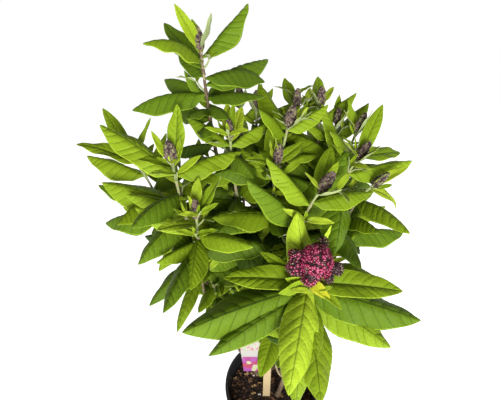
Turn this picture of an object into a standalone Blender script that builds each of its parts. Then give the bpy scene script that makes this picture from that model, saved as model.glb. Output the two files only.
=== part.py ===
# Potted butterfly bush: a young shrub in a round nursery pot.
# Metres, +Z up, origin on the middle of the pot's underside, +Y away from the side with the open flower.

import random
from math import cos, pi, radians, sin

import bmesh
import bpy
import numpy as np
from mathutils.bvhtree import BVHTree

# Pot, turned about Z
potHeight = 0.135
potRimRadius = 0.085
potLipWidth = 0.0055
potLipDepth = 0.014
potFootRadius = 0.063
potWall = 0.0017
potFloor = 0.0026
potSegments = 32

# Potting soil, its surface a little below the rim
soilTop = 0.113
soilCrown = 0.0035
clearance = 0.0003

# Label card on a flat wooden stick
labelFoot = (-0.009, -0.014)
labelLean = 8
stickSize = (0.013, 0.0022, 0.150)
cardHeight = 0.098
cardTopWidth = 0.056
cardFootWidth = 0.040
cardThickness = 0.0009
cardRaise = 0.075
cardShift = -0.021

# Wood: radius at a shoot's tip and how fast it thickens downward, in metres per metre
tipRadius = 0.0013
thickening = 0.0078
footFlare = 1.5
flareHeight = 0.014

# Leaves by pair, counted down from a shoot's tip
pairDrop = (0.002, 0.009, 0.027, 0.054, 0.084, 0.118, 0.154, 0.192)
pairLength = (0.028, 0.044, 0.066, 0.086, 0.098, 0.102, 0.098, 0.090)
pairOpening = (40, 42, 50, 62, 72, 80, 88, 94)
pairBend = (-32, -16, 22, 36, 46, 52, 58, 62)
pairBreadth = (0.26, 0.32, 0.35, 0.37, 0.38, 0.38, 0.37, 0.36)
leafThickness = 0.013
leafFold = 0.10
lightFrom = (0.0, -0.5, 0.866)
lightTurn = 0.45
longestSmallLeaf = 0.05

# Least share of its pieces' volume that a joined mass keeps
joinedShare = 0.8

# Short side sprays in the leaf axils
sprayTwig = 0.020
sprayLeaf = 0.036
sprayChance = 0.1

# Ways a leaf tries to find room, in this order: a turn and a tilt in degrees, and a share of its length
nudges = ((0, 0, 1), (8, 4, 1), (-8, -4, 1), (16, -6, 1), (-16, 6, 1), (24, 10, 1), (-24, -10, 1),
          (34, 14, 0.9), (-34, -14, 0.9), (0, 0, 0.75), (20, -8, 0.75), (-20, 8, 0.75), (40, 0, 0.65),
          (-40, 0, 0.65))

# Flower buds and the open flower head
budLength = 0.021
budRadius = 0.0052
flowerRadius = 0.0225
flowerDepth = 0.046
# Side clusters: rightward, away and up from the head's middle, and radius
flowerLobes = ((-0.021, 0.0, -0.002, 0.0085), (0.026, 0.002, -0.005, 0.0065), (0.012, 0.022, 0.004, 0.0055),
               (-0.006, -0.014, -0.014, 0.0080))

# Shoots, sizes in millimetres and angles in degrees.
# foot: where a stem leaves the soil; or mother and fork: the stem a bough leaves and how far up it.
# leave and arrive: bearing (0 right, 90 away from the flower's side) and rise of the wood at both ends.
# twist: bearing of the first pair of leaves; each next pair is a quarter turn on.
# posed: leaves that show their own way: (pair, hand): (bearing, opening, length, bend), then a drop and a share
# of the pair's breadth where they are not the pair's.
# bud: size of the flower bud at the tip, 1 where it is not given and 0 for none.
shoots = {
    "tall": dict(foot=(-14, 52), tip=(-94, 96, 697), leave=(120, 72), arrive=(115, 82), twist=10, pairs=8,
          bud=0.85, spread=0.95,
          posed={(0, 0): (310, 50, 45, -20), (0, 1): (200, 25, 50, -20),
                 (1, 1): (145, 45, 70, 5, 24, 1.2), (2, 0): (30, 50, 80, 5, 12),
                 (2, 1): (245, 40, 80, 70, 16), (3, 0): (15, 70, 85, 75, 34),
                 (3, 1): (125, 55, 60, 10, 32), (4, 0): (35, 70, 100, 30, 42),
                 (4, 1): (185, 75, 95, 50, 52), (5, 0): (65, 75, 75, 20, 58),
                 (5, 1): (140, 65, 80, 40, 52), (6, 0): (80, 70, 35, 0, 60),
                 (6, 1): (150, 35, 45, 5, 62, 0.8), (7, 0): (300, 70, 50, 55, 66),
                 (7, 1): (250, 65, 50, 40, 70)}),
    "left": dict(foot=(-24, 30), tip=(-126, 25, 595), leave=(170, 64), arrive=(120, 80), twist=350, bud=1.3,
          posed={(0, 0): (25, 40, 30, -30), (0, 1): (165, 35, 40, -30), (1, 0): (65, 30, 70, -10),
                 (1, 1): (185, 55, 40, 35), (2, 0): (20, 65, 85, 40, 20),
                 (2, 1): (165, 45, 100, 20, 18), (3, 1): (250, 65, 80, 50, 42, 1.1),
                 (4, 1): (175, 60, 100, 25, 60, 1.1), (5, 0): (245, 70, 85, 60, 76),
                 (5, 1): (175, 75, 80, 30, 68), (6, 1): (215, 105, 70, 60, 98)}),
    "far_left": dict(mother="left", fork=0.5, tip=(-184, 61, 577), leave=(165, 35), arrive=(160, 50),
          twist=350, pairs=5, bud=1.2,
          posed={(0, 0): (20, 65, 55, -10), (0, 1): (85, 25, 75, -5), (1, 1): (185, 25, 75, 30),
                 (2, 1): (165, 40, 85, 30)}),
    "low_left": dict(mother="left", fork=0.42, tip=(-99, -12, 546), leave=(250, 50), arrive=(90, 84),
          twist=20, spread=0.6,
          posed={(0, 0): (15, 35, 55, -5), (0, 1): (195, 15, 30, -10), (1, 1): (230, 55, 55, 30, 13),
                 (2, 0): (325, 65, 75, 35, 26), (3, 1): (270, 85, 70, 30, 32, 1.15),
                 (4, 1): (260, 65, 105, 45, 46, 0.62), (5, 1): (215, 95, 85, 60, 66, 0.7),
                 (6, 1): (250, 90, 75, 50, 92, 0.6)}),
    "middle": dict(foot=(6, 44), tip=(-63, 64, 606), leave=(110, 74), arrive=(110, 84), twist=0, bud=0.9,
          posed={(0, 0): (70, 35, 40, -20), (1, 0): (95, 45, 50, -10), (1, 1): (65, 55, 50, -10),
                 (2, 0): (25, 55, 60, 45, 14), (2, 1): (165, 45, 65, 35, 14),
                 (3, 1): (270, 60, 60, 60, 24)}),
    "back_left": dict(mother="middle", fork=0.5, tip=(-52, 131, 619), leave=(110, 45), arrive=(110, 86),
          twist=20, scale=0.9,
          posed={(0, 0): (95, 65, 40, -20)}),
    "back_middle": dict(mother="middle", fork=0.6, tip=(-31, 128, 616), leave=(60, 45), arrive=(90, 86),
          twist=340, pairs=5, scale=0.85,
          posed={(0, 0): (75, 65, 40, -20)}),
    "centre": dict(mother="middle", fork=0.4, tip=(-8, 38, 587), leave=(15, 50), arrive=(30, 80), twist=350,
          scale=0.95,
          posed={(0, 0): (340, -5, 30, -20), (1, 0): (40, 65, 50, 10, 4), (1, 1): (220, 50, 50, 40),
                 (2, 0): (100, 30, 65, 5, 15), (3, 1): (210, 45, 95, 30, 88),
                 (4, 1): (130, 90, 90, 30, 50)}),
    "high_back": dict(foot=(24, 34), tip=(20, 115, 624), leave=(85, 74), arrive=(90, 86), twist=20,
          scale=0.9, bud=0.9,
          posed={(0, 0): (40, 75, 40, -10), (0, 1): (265, 80, 25, 20), (1, 1): (105, 65, 60, -5)}),
    "high_middle": dict(mother="high_back", fork=0.5, tip=(6, 68, 618), leave=(230, 50), arrive=(20, 78),
          twist=30, scale=0.9, spread=0.8, bud=1.3,
          posed={(0, 1): (225, 70, 30, -10), (2, 0): (25, 50, 60, 15, 8), (2, 1): (120, 65, 80, 5, 6),
                 (3, 1): (200, 50, 75, 30, 14)}),
    "far_back": dict(mother="high_back", fork=0.45, tip=(50, 116, 625), leave=(20, 45), arrive=(90, 86),
          twist=0, scale=0.9,
          posed={(0, 0): (55, 75, 40, -10), (1, 0): (85, 65, 60, -5), (1, 1): (230, 40, 40, 0)}),
    "back_right": dict(mother="high_back", fork=0.6, tip=(72, 107, 604), leave=(10, 40), arrive=(60, 80),
          twist=30, pairs=5, scale=0.85, bud=0.7,
          posed={(0, 0): (85, 50, 40, -20), (0, 1): (60, 70, 40, -10), (2, 0): (35, 50, 70, 10)}),
    "right": dict(foot=(30, 14), tip=(91, 50, 586), leave=(45, 76), arrive=(10, 62), twist=20,
          posed={(0, 0): (90, 40, 75, 5), (0, 1): (200, 75, 40, -10), (1, 0): (25, 65, 70, 20, 2),
                 (2, 0): (15, 55, 90, 20), (2, 1): (150, 65, 105, 60),
                 (3, 1): (265, 100, 95, 60, 42, 1.2), (4, 1): (295, 85, 85, 50, 90)}),
    "right_high": dict(mother="right", fork=0.5, tip=(93, 82, 605), leave=(100, 50), arrive=(30, 70),
          twist=30, scale=0.95,
          posed={(0, 0): (25, 60, 35, 20), (0, 1): (190, 60, 35, -10), (2, 0): (180, 40, 75, 20, 40)}),
    "far_right": dict(mother="right", fork=0.42, tip=(112, 38, 554), leave=(330, 35), arrive=(0, 45),
          twist=20, pairs=5,
          posed={(0, 0): (25, 15, 45, 10), (1, 0): (350, 60, 50, 60), (2, 0): (280, 60, 85, 40),
                 (3, 0): (265, 50, 70, 40)}),
    "front": dict(foot=(12, -10), tip=(25, -60, 503), leave=(300, 80), arrive=(270, 84), twist=90, pairs=7,
          scale=1.15, spread=0.85, flower=True,
          posed={(0, 0): (315, 80, 45, 40, 12), (0, 1): (145, 75, 65, 10, 18),
                 (1, 0): (350, 80, 100, 20, 13), (1, 1): (175, 85, 95, 20, 13),
                 (2, 0): (110, 25, 90, 10), (2, 1): (255, 75, 115, 50, 22),
                 (3, 0): (340, 85, 125, 25, 22), (3, 1): (200, 85, 145, 25, 22),
                 (4, 0): (270, 70, 75, 45, 34), (4, 1): (270, 65, 115, 50, 48),
                 (5, 0): (325, 85, 105, 35, 36, 1.0), (5, 1): (215, 80, 130, 45, 34, 0.62),
                 (6, 0): (25, 130, 80, 30, 90), (6, 1): (260, 90, 110, 50, 62)}),
    "front_middle": dict(mother="front", fork=0.38, tip=(39, -2, 576), leave=(70, 50), arrive=(0, 62),
          twist=20, bud=1.3,
          posed={(0, 0): (65, 60, 40, -20), (0, 1): (185, 65, 30, 5), (1, 0): (80, 60, 70, 5),
                 (2, 0): (15, 60, 75, 25, 22), (2, 1): (170, 50, 75, 30), (3, 0): (50, 25, 100, 36),
                 (3, 1): (185, 45, 90, 25), (4, 1): (125, 80, 75, 30, 40)}),
    "low_front": dict(mother="front", fork=0.24, tip=(-2, -11, 323), leave=(200, 40), arrive=(250, 50),
          twist=0, pairs=4, scale=0.7, bud=0,
          posed={(1, 0): (190, 60, 55, 5), (1, 1): (255, 60, 70, 30), (2, 0): (270, 65, 50, 22)}),
    "low_left_side": dict(mother="left", fork=0.3, tip=(-105, 32, 396), leave=(150, 25), arrive=(170, 50),
          twist=40, pairs=4, scale=0.65, bud=0,
          posed={(0, 0): (335, 80, 35, 5), (0, 1): (250, 60, 35, 5)}),
    "low_left_back": dict(mother="left", fork=0.22, tip=(-78, 43, 361), leave=(120, 25), arrive=(140, 60),
          twist=10, pairs=4, scale=0.6, bud=0,
          posed={(1, 1): (250, 100, 50, 5)}),
    "right_side": dict(mother="right", fork=0.34, tip=(104, 82, 484), leave=(10, 35), arrive=(40, 60),
          twist=40, pairs=5, scale=0.72, bud=0),
    "rear_left": dict(mother="tall", fork=0.42, tip=(-150, 150, 520), leave=(150, 35), arrive=(140, 70),
          twist=45, pairs=5),
    "rear_middle": dict(mother="tall", fork=0.34, tip=(-40, 195, 500), leave=(60, 35), arrive=(90, 60),
          twist=15, pairs=5),
    "rear_right": dict(mother="high_back", fork=0.34, tip=(85, 165, 505), leave=(40, 35), arrive=(60, 60),
          twist=60, pairs=5),
    "inner_middle": dict(mother="middle", fork=0.45, tip=(-39, 22, 483), leave=(270, 55), arrive=(270, 76),
          twist=20, pairs=6, bud=0),
    "low_middle": dict(mother="middle", fork=0.3, tip=(-49, -2, 401), leave=(240, 50), arrive=(240, 70),
          twist=40, pairs=4, scale=0.85, bud=0),
    "low_left_front": dict(mother="left", fork=0.36, tip=(-88, -12, 440), leave=(280, 45), arrive=(280, 75),
          twist=30, pairs=4, scale=0.8, bud=0),
    "inner_right": dict(mother="right", fork=0.47, tip=(62, 14, 482), leave=(330, 55), arrive=(300, 76),
          twist=60, pairs=5, bud=0),
}


# Material with one plain colour.
def plainMaterial(name, colour, roughness, metallic=0.0):
    material = bpy.data.materials.new(name)
    material.use_nodes = True
    shader = material.node_tree.nodes["Principled BSDF"]
    shader.inputs["Base Color"].default_value = (*colour, 1.0)
    shader.inputs["Roughness"].default_value = roughness
    shader.inputs["Metallic"].default_value = metallic
    return material


# Object from points in metres and faces that look outward.
def solidObject(name, points, faces, material):
    mesh = bpy.data.meshes.new(name)
    mesh.from_pydata([tuple(p) for p in points], [], faces)
    mesh.materials.append(material)
    mesh.update()
    thing = bpy.data.objects.new(name, mesh)
    bpy.context.scene.collection.objects.link(thing)
    return thing


def unit(v):
    return v / max(np.linalg.norm(v), 1e-9)


# Rotation of v about an axis, angle in degrees.
def turned(v, axis, angle):
    a = radians(angle)
    return v * cos(a) + np.cross(axis, v) * sin(a) + axis * np.dot(axis, v) * (1 - cos(a))


def heading(bearing, rise):
    b = radians(bearing)
    r = radians(rise)
    return np.array([cos(r) * cos(b), cos(r) * sin(b), sin(r)])


# Smooth curve of wood from start to finish.
def limbPoints(start, finish, leave, arrive, steps=24):
    u = np.linspace(0, 1, steps + 1)[:, None]
    span = np.linalg.norm(finish - start)
    bow = (2 * u**3 - 3 * u**2 + 1) * start + (3 * u**2 - 2 * u**3) * finish
    return bow + (u**3 - 2 * u**2 + u) * span * leave + (u**3 - u**2) * span * arrive


# A limb's middle line, read by the distance below its tip.
class Limb:
    def __init__(self, points):
        self.points = points
        steps = np.linalg.norm(np.diff(points, axis=0), axis=1)
        self.run = np.concatenate([[0], np.cumsum(steps)])
        self.length = self.run[-1]

    def below(self, drop):
        s = self.length - drop
        return np.array([np.interp(s, self.run, self.points[:, k]) for k in range(3)])

    def direction(self, drop):
        return unit(self.below(drop - 0.004) - self.below(drop + 0.004))

    def radius(self, drop):
        return tipRadius + thickening * drop


# Two directions across a limb: to the right and away from the viewer.
def across(direction):
    right = unit(np.array([1.0, 0, 0]) - direction[0] * direction)
    return right, np.cross(direction, right)


# Leaf as its root, first heading, upper face, length, breadth and bend. The upper face turns some way to
# the light.
def leafOn(limb, drop, bearing, opening, length, bend, breadth):
    t = limb.direction(drop)
    right, away = across(t)
    side = right * cos(radians(bearing)) + away * sin(radians(bearing))
    first = t * cos(radians(opening)) + side * sin(radians(opening))
    normal = t * sin(radians(opening)) - side * cos(radians(opening))
    light = np.array(lightFrom)
    toLight = unit(light - np.dot(light, first) * first)
    normal = unit(normal * (1 - lightTurn) + toLight * lightTurn)
    root = limb.below(drop) + side * limb.radius(drop) * 0.3
    return dict(root=root, first=first, normal=normal, length=length, breadth=breadth, bend=bend)


# Midrib places of a leaf at shares of its length, with the upper face's direction there.
def midrib(leaf, shares):
    side = np.cross(leaf["first"], leaf["normal"])
    fine = 16
    place = leaf["root"]
    places = [place]
    for i in range(fine):
        head = turned(leaf["first"], side, -leaf["bend"] * ((i + 0.5) / fine) ** 1.2)
        place = place + head * leaf["length"] / fine
        places.append(place)
    places = np.array(places)
    run = np.linspace(0, 1, fine + 1)
    out = []
    for share in shares:
        at = np.array([np.interp(share, run, places[:, k]) for k in range(3)])
        head = turned(leaf["first"], side, -leaf["bend"] * share ** 1.2)
        out.append((at, np.cross(side, head)))
    return out, side


# Rings of three points joined into a closed blade that ends in one point.
def bladeFaces(rings):
    faces = [(0, 1, 2)]
    for i in range(rings - 1):
        for k in range(3):
            a = 3 * i + k
            b = 3 * i + (k + 1) % 3
            faces += [(a, a + 3, b + 3), (a, b + 3, b)]
    last = 3 * (rings - 1)
    for k in range(3):
        faces.append((last + k, 3 * rings, last + (k + 1) % 3))
    return faces


# Thin blade, a little roofed: one edge, the ridge above and the other edge at each ring.
def leafSolid(leaf):
    small = leaf["length"] < longestSmallLeaf
    shares, widths = ((0, 0.45), (0.14, 1.0)) if small else ((0, 0.3, 0.66), (0.12, 0.94, 0.88))
    places, side = midrib(leaf, (*shares, 1.0))
    thick = leafThickness * leaf["length"]
    points = []
    for (at, up), width in zip(places, widths):
        half = leaf["breadth"] * leaf["length"] / 2 * width
        lift = up * leafFold * half
        points += [at + side * half - lift, at - side * half - lift, at + up * thick / 2]
    points.append(places[-1][0])
    return np.array(points), bladeFaces(len(widths))


# Tapered tube along points, flat at both ends.
def tubeSolid(places, radii, sides, firstNormal=None, firstDistance=None):
    points = []
    frame = None
    for i, (at, radius) in enumerate(zip(places, radii)):
        ahead = unit(places[min(i + 1, len(places) - 1)] - places[max(i - 1, 0)])
        if frame is None:
            frame = across(ahead)[0]
        frame = unit(frame - np.dot(frame, ahead) * ahead)
        other = np.cross(ahead, frame)
        for k in range(sides):
            a = 2 * pi * (k + 0.5) / sides
            p = at + (frame * cos(a) + other * sin(a)) * radius
            if i == 0 and firstNormal is not None:
                p = p + ahead * (firstDistance - np.dot(p, firstNormal)) / np.dot(ahead, firstNormal)
            points.append(p)
    faces = [tuple(reversed(range(sides)))]
    for i in range(len(places) - 1):
        for k in range(sides):
            a = sides * i + k
            b = sides * i + (k + 1) % sides
            faces.append((a, b, b + sides, a + sides))
    faces.append(tuple(range(len(points) - sides, len(points))))
    return np.array(points), faces


# Solid of revolution about an axis from a base point, with points on the axis at both ends.
def turnedSolid(base, axis, profile, sides):
    right, away = across(axis)
    points = []
    for radius, height in profile:
        for k in range(1 if radius == 0 else sides):
            a = 2 * pi * k / sides
            points.append(base + axis * height + (right * cos(a) + away * sin(a)) * radius)
    faces = [(0, 1 + (k + 1) % sides, 1 + k) for k in range(sides)]
    rings = len(profile) - 2
    for i in range(rings - 1):
        for k in range(sides):
            a = 1 + sides * i + k
            b = 1 + sides * i + (k + 1) % sides
            faces.append((a, b, b + sides, a + sides))
    last = 1 + sides * (rings - 1)
    faces += [(last + k, last + (k + 1) % sides, len(points) - 1) for k in range(sides)]
    return np.array(points), faces


def budSolid(limb, size):
    r = budRadius * size
    h = budLength * size
    profile = [(0, 0), (r * 0.7, h * 0.04), (r, h * 0.34), (r * 0.62, h * 0.76), (0, h)]
    return turnedSolid(limb.below(0.003), limb.direction(0), profile, 6)


# The open head: a blunt cone of florets, seen from above as a round cluster, with smaller clusters at its side.
def flowerSolids(limb):
    shape = ((0, 0), (0.62, 0.05), (0.95, 0.26), (1.0, 0.48), (0.84, 0.72), (0.5, 0.92), (0, 1.0))
    profile = [(flowerRadius * r, flowerDepth * h) for r, h in shape]
    base = limb.below(0.004)
    axis = limb.direction(0)
    right, away = across(axis)
    middle = base + axis * flowerDepth / 2
    solids = [turnedSolid(base, axis, profile, 10)]
    for x, y, z, radius in flowerLobes:
        reach = right * x + away * y + axis * z
        far = np.linalg.norm(reach)
        lobe = [(0, 0), (radius * 0.8, far - radius * 0.7), (radius, far), (radius * 0.66, far + radius * 0.7),
                (0, far + radius)]
        solids.append(turnedSolid(middle, unit(reach), lobe, 6))
    return solids


# Short twig in a leaf axil with a pair of small leaves and one at its end.
def spraySolids(limb, drop, bearing):
    t = limb.direction(drop)
    right, away = across(t)
    side = right * cos(radians(bearing)) + away * sin(radians(bearing))
    start = limb.below(drop)
    finish = start + (t * 0.75 + side * 0.66) * sprayTwig
    twig = Limb(limbPoints(start, finish, unit(t * 0.5 + side), unit(t + side * 0.4), 3))
    places = [twig.below(d) for d in np.linspace(twig.length, 0, 3)]
    pieces = [tubeSolid(places, (0.0012, 0.001, 0.0008), 3)]
    for hand in (0, 1):
        blade = leafOn(twig, 0.002, bearing + 90 + 180 * hand, 50, sprayLeaf, 30, 0.27)
        pieces.append(leafSolid(blade))
    return pieces


# Search tree of one or more closed pieces.
def searchTree(pieces):
    points = np.concatenate([p for p, _ in pieces])
    faces = []
    base = 0
    for p, f in pieces:
        faces += [tuple(i + base for i in face) for face in f]
        base += len(p)
    low = points.min(axis=0)
    high = points.max(axis=0)
    return BVHTree.FromPolygons(points.tolist(), faces), low, high


# True where a piece crosses one that already stands. Kin are the pieces of its own shoot that it may touch.
def crosses(tree, standing, owner, kin):
    found, low, high = tree
    for other, otherLow, otherHigh, otherOwner, otherKind in standing:
        if otherOwner == owner and (kin == "all" or otherKind in kin):
            continue
        if (low > otherHigh).any() or (high < otherLow).any():
            continue
        if found.overlap(other):
            return True
    return False


# Middle lines of every shoot, from the soil or from the mother stem.
def growLimbs():
    limbs = {}
    for name, shoot in shoots.items():
        tip = np.array(shoot["tip"]) / 1000
        leave = heading(*shoot["leave"])
        if "mother" in shoot:
            mother = limbs[shoot["mother"]]
            start = mother.below(mother.length * (1 - shoot["fork"]))
        else:
            start = np.array([*shoot["foot"], 0.0]) / 1000
            start[2] = soilTop + clearance
        limbs[name] = Limb(limbPoints(start, tip, leave, heading(*shoot["arrive"])))
    return limbs


# Length of a shoot that carries leaves.
def leafyLength(shoot):
    return pairDrop[shoot.get("pairs", 7) - 1] * shoot.get("spread", 1.0) * shoot.get("scale", 1.0) + 0.012


# Stem or bough below its leafy end. A stem is cut flat at the soil, a bough where it meets its mother.
def woodSolid(name, limbs):
    shoot = shoots[name]
    limb = limbs[name]
    leafy = leafyLength(shoot)
    if "mother" in shoot:
        mother = limbs[shoot["mother"]]
        drop = mother.length * (1 - shoot["fork"])
        t = mother.direction(drop)
        leave = heading(*shoot["leave"])
        outward = unit(leave - np.dot(leave, t) * t)
        reach = mother.radius(drop) + clearance
        distance = np.dot(mother.below(drop), outward) + reach
        first = limb.length - reach / np.dot(leave, outward) * 1.02
        sides = 5
        steps = 4
        share = 0.8
    else:
        outward = np.array([0, 0, 1.0])
        distance = soilTop + clearance
        first = limb.length
        sides = 6
        steps = 7
        share = 1.0
    drops = np.linspace(first, leafy + clearance, steps)
    if "mother" not in shoot:
        drops = np.concatenate([[first, first - flareHeight * 0.4, first - flareHeight], drops[2:]])
    radii = [limb.radius(d) * share for d in drops]
    if "mother" not in shoot:
        radii[0] *= footFlare
        radii[1] *= 1 + (footFlare - 1) * 0.4
    places = [limb.below(d) for d in drops]
    return tubeSolid(places, radii, sides, outward, distance)


# Leafy end's own stem, square like the young wood.
def twigSolid(name, limbs):
    limb = limbs[name]
    leafy = leafyLength(shoots[name])
    drops = np.linspace(leafy, 0, 5)
    share = 0.8 if "mother" in shoots[name] else 1.0
    radii = [tipRadius + (limb.radius(leafy) * share - tipRadius) * d / leafy for d in drops]
    return tubeSolid([limb.below(d) for d in drops], radii, 4)


# Leaves, buds and side sprays of all shoots, each kept only where it finds room.
def growLeaves(limbs, standing):
    grown = {name: [twigSolid(name, limbs)] for name in shoots}
    for name, shoot in shoots.items():
        twig = grown[name][0]
        if shoot.get("flower"):
            grown[name] += flowerSolids(limbs[name])
        elif shoot.get("bud", 1):
            grown[name].append(budSolid(limbs[name], shoot.get("bud", 1)))
        standing.append((*searchTree([twig]), name, "twig"))
        standing += [(*searchTree([head]), name, "head") for head in grown[name][1:]]
    for wanted in ("posed", "free", "spray"):
        for number, (name, shoot) in enumerate(shoots.items()):
            rule = random.Random(100 * number + len(wanted))
            growKind(wanted, name, shoot, limbs[name], rule, grown[name], standing)
    return grown


# One kind of growth on one shoot.
def growKind(wanted, name, shoot, limb, rule, grown, standing):
    scale = shoot.get("scale", 1.0)
    posed = shoot.get("posed", {})
    mayTouch = {"posed": "all", "free": ("twig", "head")}
    for pair in range(shoot.get("pairs", 7)):
        for hand in (0, 1):
            drop = pairDrop[pair] * shoot.get("spread", 1.0) * scale
            bearing = shoot.get("twist", 0) + 90 * (pair % 2) + 180 * hand + rule.uniform(-12, 12)
            opening = pairOpening[pair] + rule.uniform(-7, 7)
            length = pairLength[pair] * scale * rule.uniform(0.92, 1.08)
            bend = pairBend[pair] * rule.uniform(0.8, 1.2)
            breadth = pairBreadth[pair]
            chance = rule.random()
            if ((pair, hand) in posed) != (wanted == "posed") and wanted != "spray":
                continue
            if wanted == "posed":
                bearing, opening, size, bend, *own = posed[pair, hand]
                length = size / 1000
                if own:
                    drop = own[0] / 1000
                if len(own) > 1:
                    breadth *= own[1]
            if wanted == "spray" and (pair < 2 or chance > sprayChance):
                continue
            kin = mayTouch.get(wanted, ("twig", pair))
            for turn, tilt, share in nudges:
                if wanted == "spray":
                    pieces = spraySolids(limb, drop, bearing + 2 * turn)
                else:
                    blade = leafOn(limb, drop, bearing + turn, opening + tilt, length * share, bend, breadth)
                    pieces = [leafSolid(blade)]
                tree = searchTree(pieces)
                if not crosses(tree, standing, name, kin):
                    grown += pieces
                    standing.append((*tree, name, pair))
                    break


# Volume of a closed piece.
def volumeOf(points, faces):
    wedges = [np.dot(points[face[0]], np.cross(points[face[i]], points[face[i + 1]]))
              for face in faces for i in range(1, len(face) - 1)]
    return sum(wedges) / 6


# The pieces joined into one closed mesh, or nothing where the join fails or loses leaves.
def closedUnion(stem, pieces, material):
    enough = joinedShare * sum(abs(volumeOf(*piece)) for piece in pieces)
    for solver in ("EXACT", "MANIFOLD"):
        joined = joinedMesh(stem, pieces[1:], solver, material)
        for gap in (0.00002, 0.000005):
            tidied = joined.copy()
            if tidyMass(tidied, gap, enough):
                return tidied
    return None


# One mass: the twig joined with everything that grows on it. Where that fails, one leaf or another is left off.
def joinMass(name, pieces, material):
    stem = solidObject(name, *pieces[0], material)
    while True:
        choices = [pieces] + [pieces[:i] + pieces[i + 1:] for i in range(len(pieces) - 1, 0, -1)]
        for choice in choices:
            mass = closedUnion(stem, choice, material)
            if mass:
                stem.data = mass
                return
        pieces = pieces[:-1]


# Union of a stem with a collection of pieces, read as the modifier leaves it.
def joinedMesh(stem, pieces, solver, material):
    loose = bpy.data.collections.new(stem.name + "_pieces")
    bpy.context.scene.collection.children.link(loose)
    for i, (points, faces) in enumerate(pieces):
        piece = solidObject(f"{stem.name}_{i}", points, faces, material)
        bpy.context.scene.collection.objects.unlink(piece)
        loose.objects.link(piece)
    union = stem.modifiers.new("join", "BOOLEAN")
    union.operation = "UNION"
    union.operand_type = "COLLECTION"
    union.collection = loose
    union.solver = solver
    graph = bpy.context.evaluated_depsgraph_get()
    joined = bpy.data.meshes.new_from_object(stem.evaluated_get(graph))
    stem.modifiers.clear()
    for piece in list(loose.objects):
        bpy.data.objects.remove(piece)
    bpy.data.collections.remove(loose)
    return joined


# Drop loose scraps and needle-thin faces left by the join, and tell whether the mesh is closed and whole.
def tidyMass(mesh, gap, enough):
    work = bmesh.new()
    work.from_mesh(mesh)
    bmesh.ops.triangulate(work, faces=work.faces)
    bmesh.ops.remove_doubles(work, verts=work.verts, dist=gap)
    bmesh.ops.dissolve_degenerate(work, edges=work.edges, dist=gap)
    bmesh.ops.triangulate(work, faces=work.faces)
    unseen = set(work.verts)
    islands = []
    while unseen:
        island = [unseen.pop()]
        for vert in island:
            for edge in vert.link_edges:
                other = edge.other_vert(vert)
                if other in unseen:
                    unseen.remove(other)
                    island.append(other)
        islands.append(island)
    islands.sort(key=len)
    for island in islands[:-1]:
        bmesh.ops.delete(work, geom=island, context="VERTS")
    bmesh.ops.recalc_face_normals(work, faces=work.faces)
    closed = all(edge.is_manifold for edge in work.edges) and all(vert.is_manifold for vert in work.verts)
    whole = abs(work.calc_volume()) > enough
    work.to_mesh(mesh)
    work.free()
    return closed and whole


def innerRadius(height):
    top = potRimRadius - potLipWidth
    return potFootRadius - potWall + (top - potFootRadius + potWall) * height / potHeight


def makePot(material):
    lip = potHeight - potLipDepth
    shoulder = innerRadius(lip) + potWall
    profile = [(0, 0), (potFootRadius - 0.002, 0), (potFootRadius, 0.002), (shoulder, lip),
               (potRimRadius - 0.001, lip), (potRimRadius - 0.0004, lip + 0.001),
               (potRimRadius, potHeight - 0.0015),
               (potRimRadius - 0.001, potHeight), (innerRadius(potHeight) + 0.001, potHeight),
               (innerRadius(potHeight), potHeight - 0.0012), (innerRadius(0.004), 0.004),
               (innerRadius(0.004) - 0.002, potFloor), (0, potFloor)]
    points, faces = turnedSolid(np.zeros(3), np.array([0, 0, 1.0]), profile, potSegments)
    return solidObject("pot", points, faces, material)


def makeSoil(material):
    edge = soilTop - soilCrown
    low = potFloor + clearance
    profile = [(0, low), (innerRadius(0.004) - 0.0026, low), (innerRadius(0.004) - 0.0006, 0.0046),
               (innerRadius(edge) - 0.0005, edge), (innerRadius(edge) - 0.012, edge + soilCrown * 0.7),
               (0.045, soilTop), (0, soilTop)]
    points, faces = turnedSolid(np.zeros(3), np.array([0, 0, 1.0]), profile, potSegments)
    return solidObject("soil", points, faces, material)


# Flat plate from an outline in its own plane, leaning back from its foot.
def leaningPlate(name, outline, thickness, forward, material):
    lean = radians(labelLean)
    up = np.array([0, sin(lean), cos(lean)])
    back = np.array([0, cos(lean), -sin(lean)])
    foot = np.array([*labelFoot, soilTop + clearance])
    points = []
    for depth in (forward, forward + thickness):
        for x, height in outline:
            p = foot + np.array([x, 0, 0]) + back * depth + up * height
            if height == 0:
                p = p + up * (foot[2] - p[2]) / up[2]
            points.append(p)
    n = len(outline)
    faces = [tuple(range(n)), tuple(reversed(range(n, 2 * n)))]
    faces += [((k + 1) % n, k, k + n, (k + 1) % n + n) for k in range(n)]
    return solidObject(name, points, faces, material)


def makeLabel(cardMaterial, stickMaterial):
    width, thickness, length = stickSize
    half = width / 2
    stick = [(-half, 0), (half, 0), (half, length - 0.003), (half - 0.003, length), (0.003 - half, length),
             (-half, length - 0.003)]
    leaningPlate("label_stick", stick, thickness, 0.0, stickMaterial)
    wide = cardTopWidth / 2
    narrow = cardFootWidth / 2
    top = cardRaise + cardHeight
    card = [(cardShift - narrow, cardRaise), (cardShift + narrow, cardRaise), (cardShift + wide, top - 0.012),
            (cardShift + wide - 0.008, top), (cardShift - wide + 0.008, top), (cardShift - wide, top - 0.012)]
    leaningPlate("label_card", card, cardThickness, -cardThickness - clearance, cardMaterial)


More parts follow.
